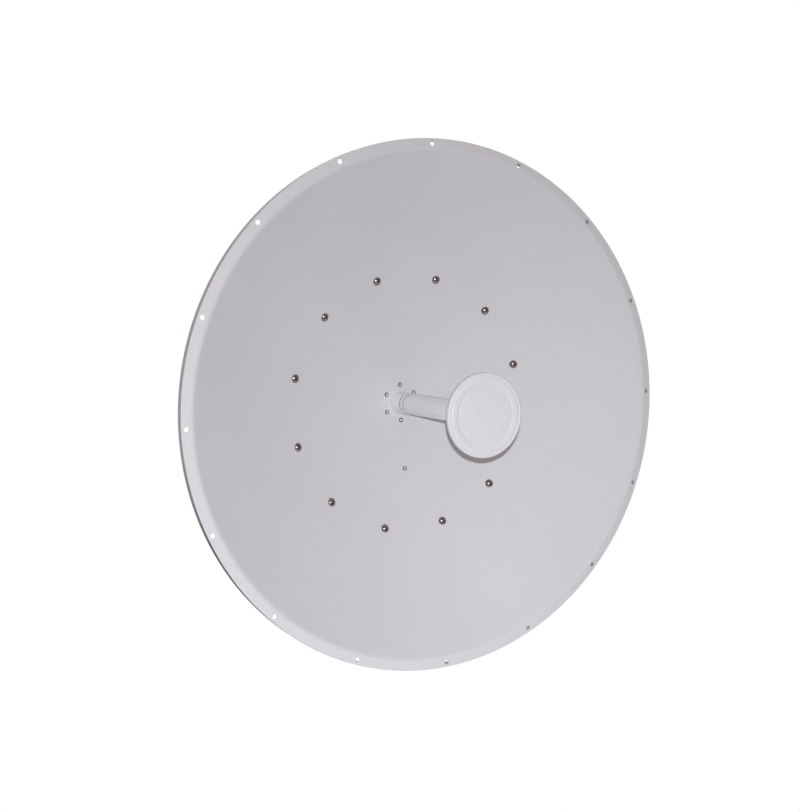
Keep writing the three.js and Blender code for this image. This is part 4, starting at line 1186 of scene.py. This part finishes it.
def coaxial_socket(reach, flange_half):
    """A threaded coaxial socket on a square flange, open at its mouth; seat at z = 0."""
    thread_r, pitch, run = 7.9 * MM, 1.06 * MM, reach - 8 * MM
    steps = round(run / (pitch / 4))
    rows = [round_row(*mm(r, z)) for r, z in ((8.8, 2.9), (8.8, 5), (7.3, 5.6))]
    rows += [wavy_row(thread_r, 0.55 * MM, pitch, 7 * MM + run * i / steps, SIDES) for i in range(steps + 1)]
    inside = ((7.0, 0.4), (6.6, 0), (6.2, 0.4), (6.1, 9), (3.4, 9), (3.2, 6.5), (1.5, 6.5), (1.5, 1.6),
              (0.8, 1))
    rows += [round_row(r * MM, reach - depth * MM) for r, depth in inside]
    flange = extruded(rounded_block(flange_half, flange_half, 2 * MM), "z", 0, FLANGE_THICK)
    corner = 0.72 * flange_half
    head = socket_screw(*mm(1.5, 2.6, 2.2))
    heads = [(*head, Matrix.Translation((x * corner, z * corner, FLANGE_THICK)))
             for x in (-1, 1) for z in (-1, 1)]
    return merged(flange, skin(rows), *heads)


for label, node, way in (("side", "connector_h", (1, 0, 0)), ("under", "connector_v", (0, 0, -1))):
    low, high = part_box(node)
    seat = Vector(way) * (OMT_HALF - FLANGE_THICK) + Vector((0, (low.y + high.y) / 2, 0))
    reach = max(high.x, -low.z) - OMT_HALF + FLANGE_THICK
    piece(f"coaxial_socket_{label}", coaxial_socket(reach, 12.5 * MM), BRASS, "feed", node, along(seat, way))

# ---- stage -----------------------------------------------------------------

FLOOR_Z = -2.2
FLOOR_R = 2.5
FLOOR_MIDDLE = (-0.2, -0.5)
FLOOR_LIGHT_RISE = 1.2
FLOOR_LIGHT_POWER = 44

# The camera looks at the middle of the rim from the left and a little above, and leans slightly.
CAMERA_AZIMUTH = math.radians(-27.199)
CAMERA_ELEVATION = math.radians(5.692)
CAMERA_ROLL = math.radians(-1.7625)
CAMERA_DISTANCE = 4.4888 * RIM_HOLE_CIRCLE
CAMERA_SIDE = -0.1518 * RIM_HOLE_CIRCLE
CAMERA_RISE = 0.0075 * RIM_HOLE_CIRCLE
CAMERA_LENS = 51.935
CAMERA_SHIFT = 0.5 / 812
FLASH_RISE = 77 * MM
FLASH_SIDE = 12 * MM
FLASH_AIM_SIDE = 0.12
FLASH_AIM_DROP = 0.42
FLASH_SIZE = 0.022
FLASH_POWER = 11.4


def stage_floor():
    points = [(x, y, FLOOR_Z) for x, y in circle(FLOOR_MIDDLE, FLOOR_R, 96)]
    floor = bpy.data.objects.new("floor", mesh_of("floor", points, [tuple(range(len(points)))]))
    bpy.context.scene.collection.objects.link(floor)
    f = Finish("pale_floor", Specular_IOR_Level=0.1)
    base = f.mix(f.noise(3, 2), (0.81, 0.86, 0.865), (0.84, 0.89, 0.895))
    floor.data.materials.append(f.finished(base, f.patches(10, 2, to_low=0.8, to_high=0.9)))
    floor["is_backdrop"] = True


def area_light(name, position, target, size, power, colour=(1, 1, 1), spread=180):
    light = bpy.data.lights.new(name, "AREA")
    light.shape = "DISK"
    light.size = size
    light.energy = power
    light.color = colour
    light.spread = math.radians(spread)
    obj = bpy.data.objects.new(name, light)
    bpy.context.scene.collection.objects.link(obj)
    obj.matrix_world = along(position, Vector(position) - Vector(target))
    return obj


def floor_light():
    """Even light on the floor from below the object's level, unseen by the camera."""
    light = area_light("floor_light", (*FLOOR_MIDDLE, FLOOR_Z + FLOOR_LIGHT_RISE), (*FLOOR_MIDDLE, FLOOR_Z),
                       2 * FLOOR_R, FLOOR_LIGHT_POWER)
    light.visible_camera = light.visible_glossy = False


def camera_axes():
    a, e = CAMERA_AZIMUTH, CAMERA_ELEVATION
    back = Vector((math.sin(a) * math.cos(e), -math.cos(a) * math.cos(e), math.sin(e)))
    right = Vector((0, 0, 1)).cross(back).normalized()
    up = back.cross(right)
    c, s = math.cos(CAMERA_ROLL), math.sin(CAMERA_ROLL)
    return c * right + s * up, c * up - s * right, back


def make_camera():
    right, up, back = camera_axes()
    place = Vector((0, RIM_Y, 0)) + back * CAMERA_DISTANCE + right * CAMERA_SIDE + up * CAMERA_RISE
    data = bpy.data.cameras.new("camera")
    data.lens = CAMERA_LENS
    data.sensor_width = 36
    data.shift_x, data.shift_y = -CAMERA_SHIFT, CAMERA_SHIFT
    data.clip_start, data.clip_end = 0.05, 200
    obj = bpy.data.objects.new("camera", data)
    bpy.context.scene.collection.objects.link(obj)
    obj.matrix_world = axes(right, up, back, place)
    bpy.context.scene.camera = obj
    return place, right, up


def make_world():
    """Soft even studio light, and a plain white surround behind the object."""
    world = bpy.data.worlds.new("studio")
    bpy.context.scene.world = world
    world.use_nodes = True
    tree = world.node_tree
    soft = tree.nodes["Background"]
    soft.inputs["Color"].default_value = (1.0, 0.87, 0.865, 1)
    place, split, fade, plain, path, mixer = (tree.nodes.new("ShaderNode" + kind) for kind in (
        "TexCoord", "SeparateXYZ", "MapRange", "Background", "LightPath", "MixShader"))
    plain.inputs["Color"].default_value = (1, 1, 1, 1)
    for socket, value in (("From Min", -0.2), ("From Max", 1.0), ("To Min", 0.20), ("To Max", 0.47)):
        fade.inputs[socket].default_value = value
    for source, target in ((place.outputs["Generated"], split.inputs[0]),
                           (split.outputs["Z"], fade.inputs["Value"]),
                           (fade.outputs["Result"], soft.inputs["Strength"]),
                           (path.outputs["Is Camera Ray"], mixer.inputs[0]),
                           (soft.outputs[0], mixer.inputs[1]),
                           (plain.outputs[0], mixer.inputs[2]),
                           (mixer.outputs[0], tree.nodes["World Output"].inputs["Surface"])):
        tree.links.new(source, target)


stage_floor()
eye, eye_right, eye_up = make_camera()
make_world()
aim = Vector((0, RIM_Y, 0)) + eye_right * FLASH_AIM_SIDE - eye_up * FLASH_AIM_DROP
area_light("key", eye + eye_up * FLASH_RISE + eye_right * FLASH_SIDE, aim, FLASH_SIZE, FLASH_POWER,
           (0.925, 0.95, 1.0), spread=90)
FILLS = (("fill_back", (1.6, 3.2, 2.6), 2.4, 95), ("fill_low", (0.3, 4.0, 0.2), 1.6, 38))
for name, place, size, power in FILLS:
    area_light(name, place, (0, -0.2, 0), size, power).visible_camera = False
floor_light()
bpy.context.scene.view_settings.view_transform = "Standard"

low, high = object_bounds()
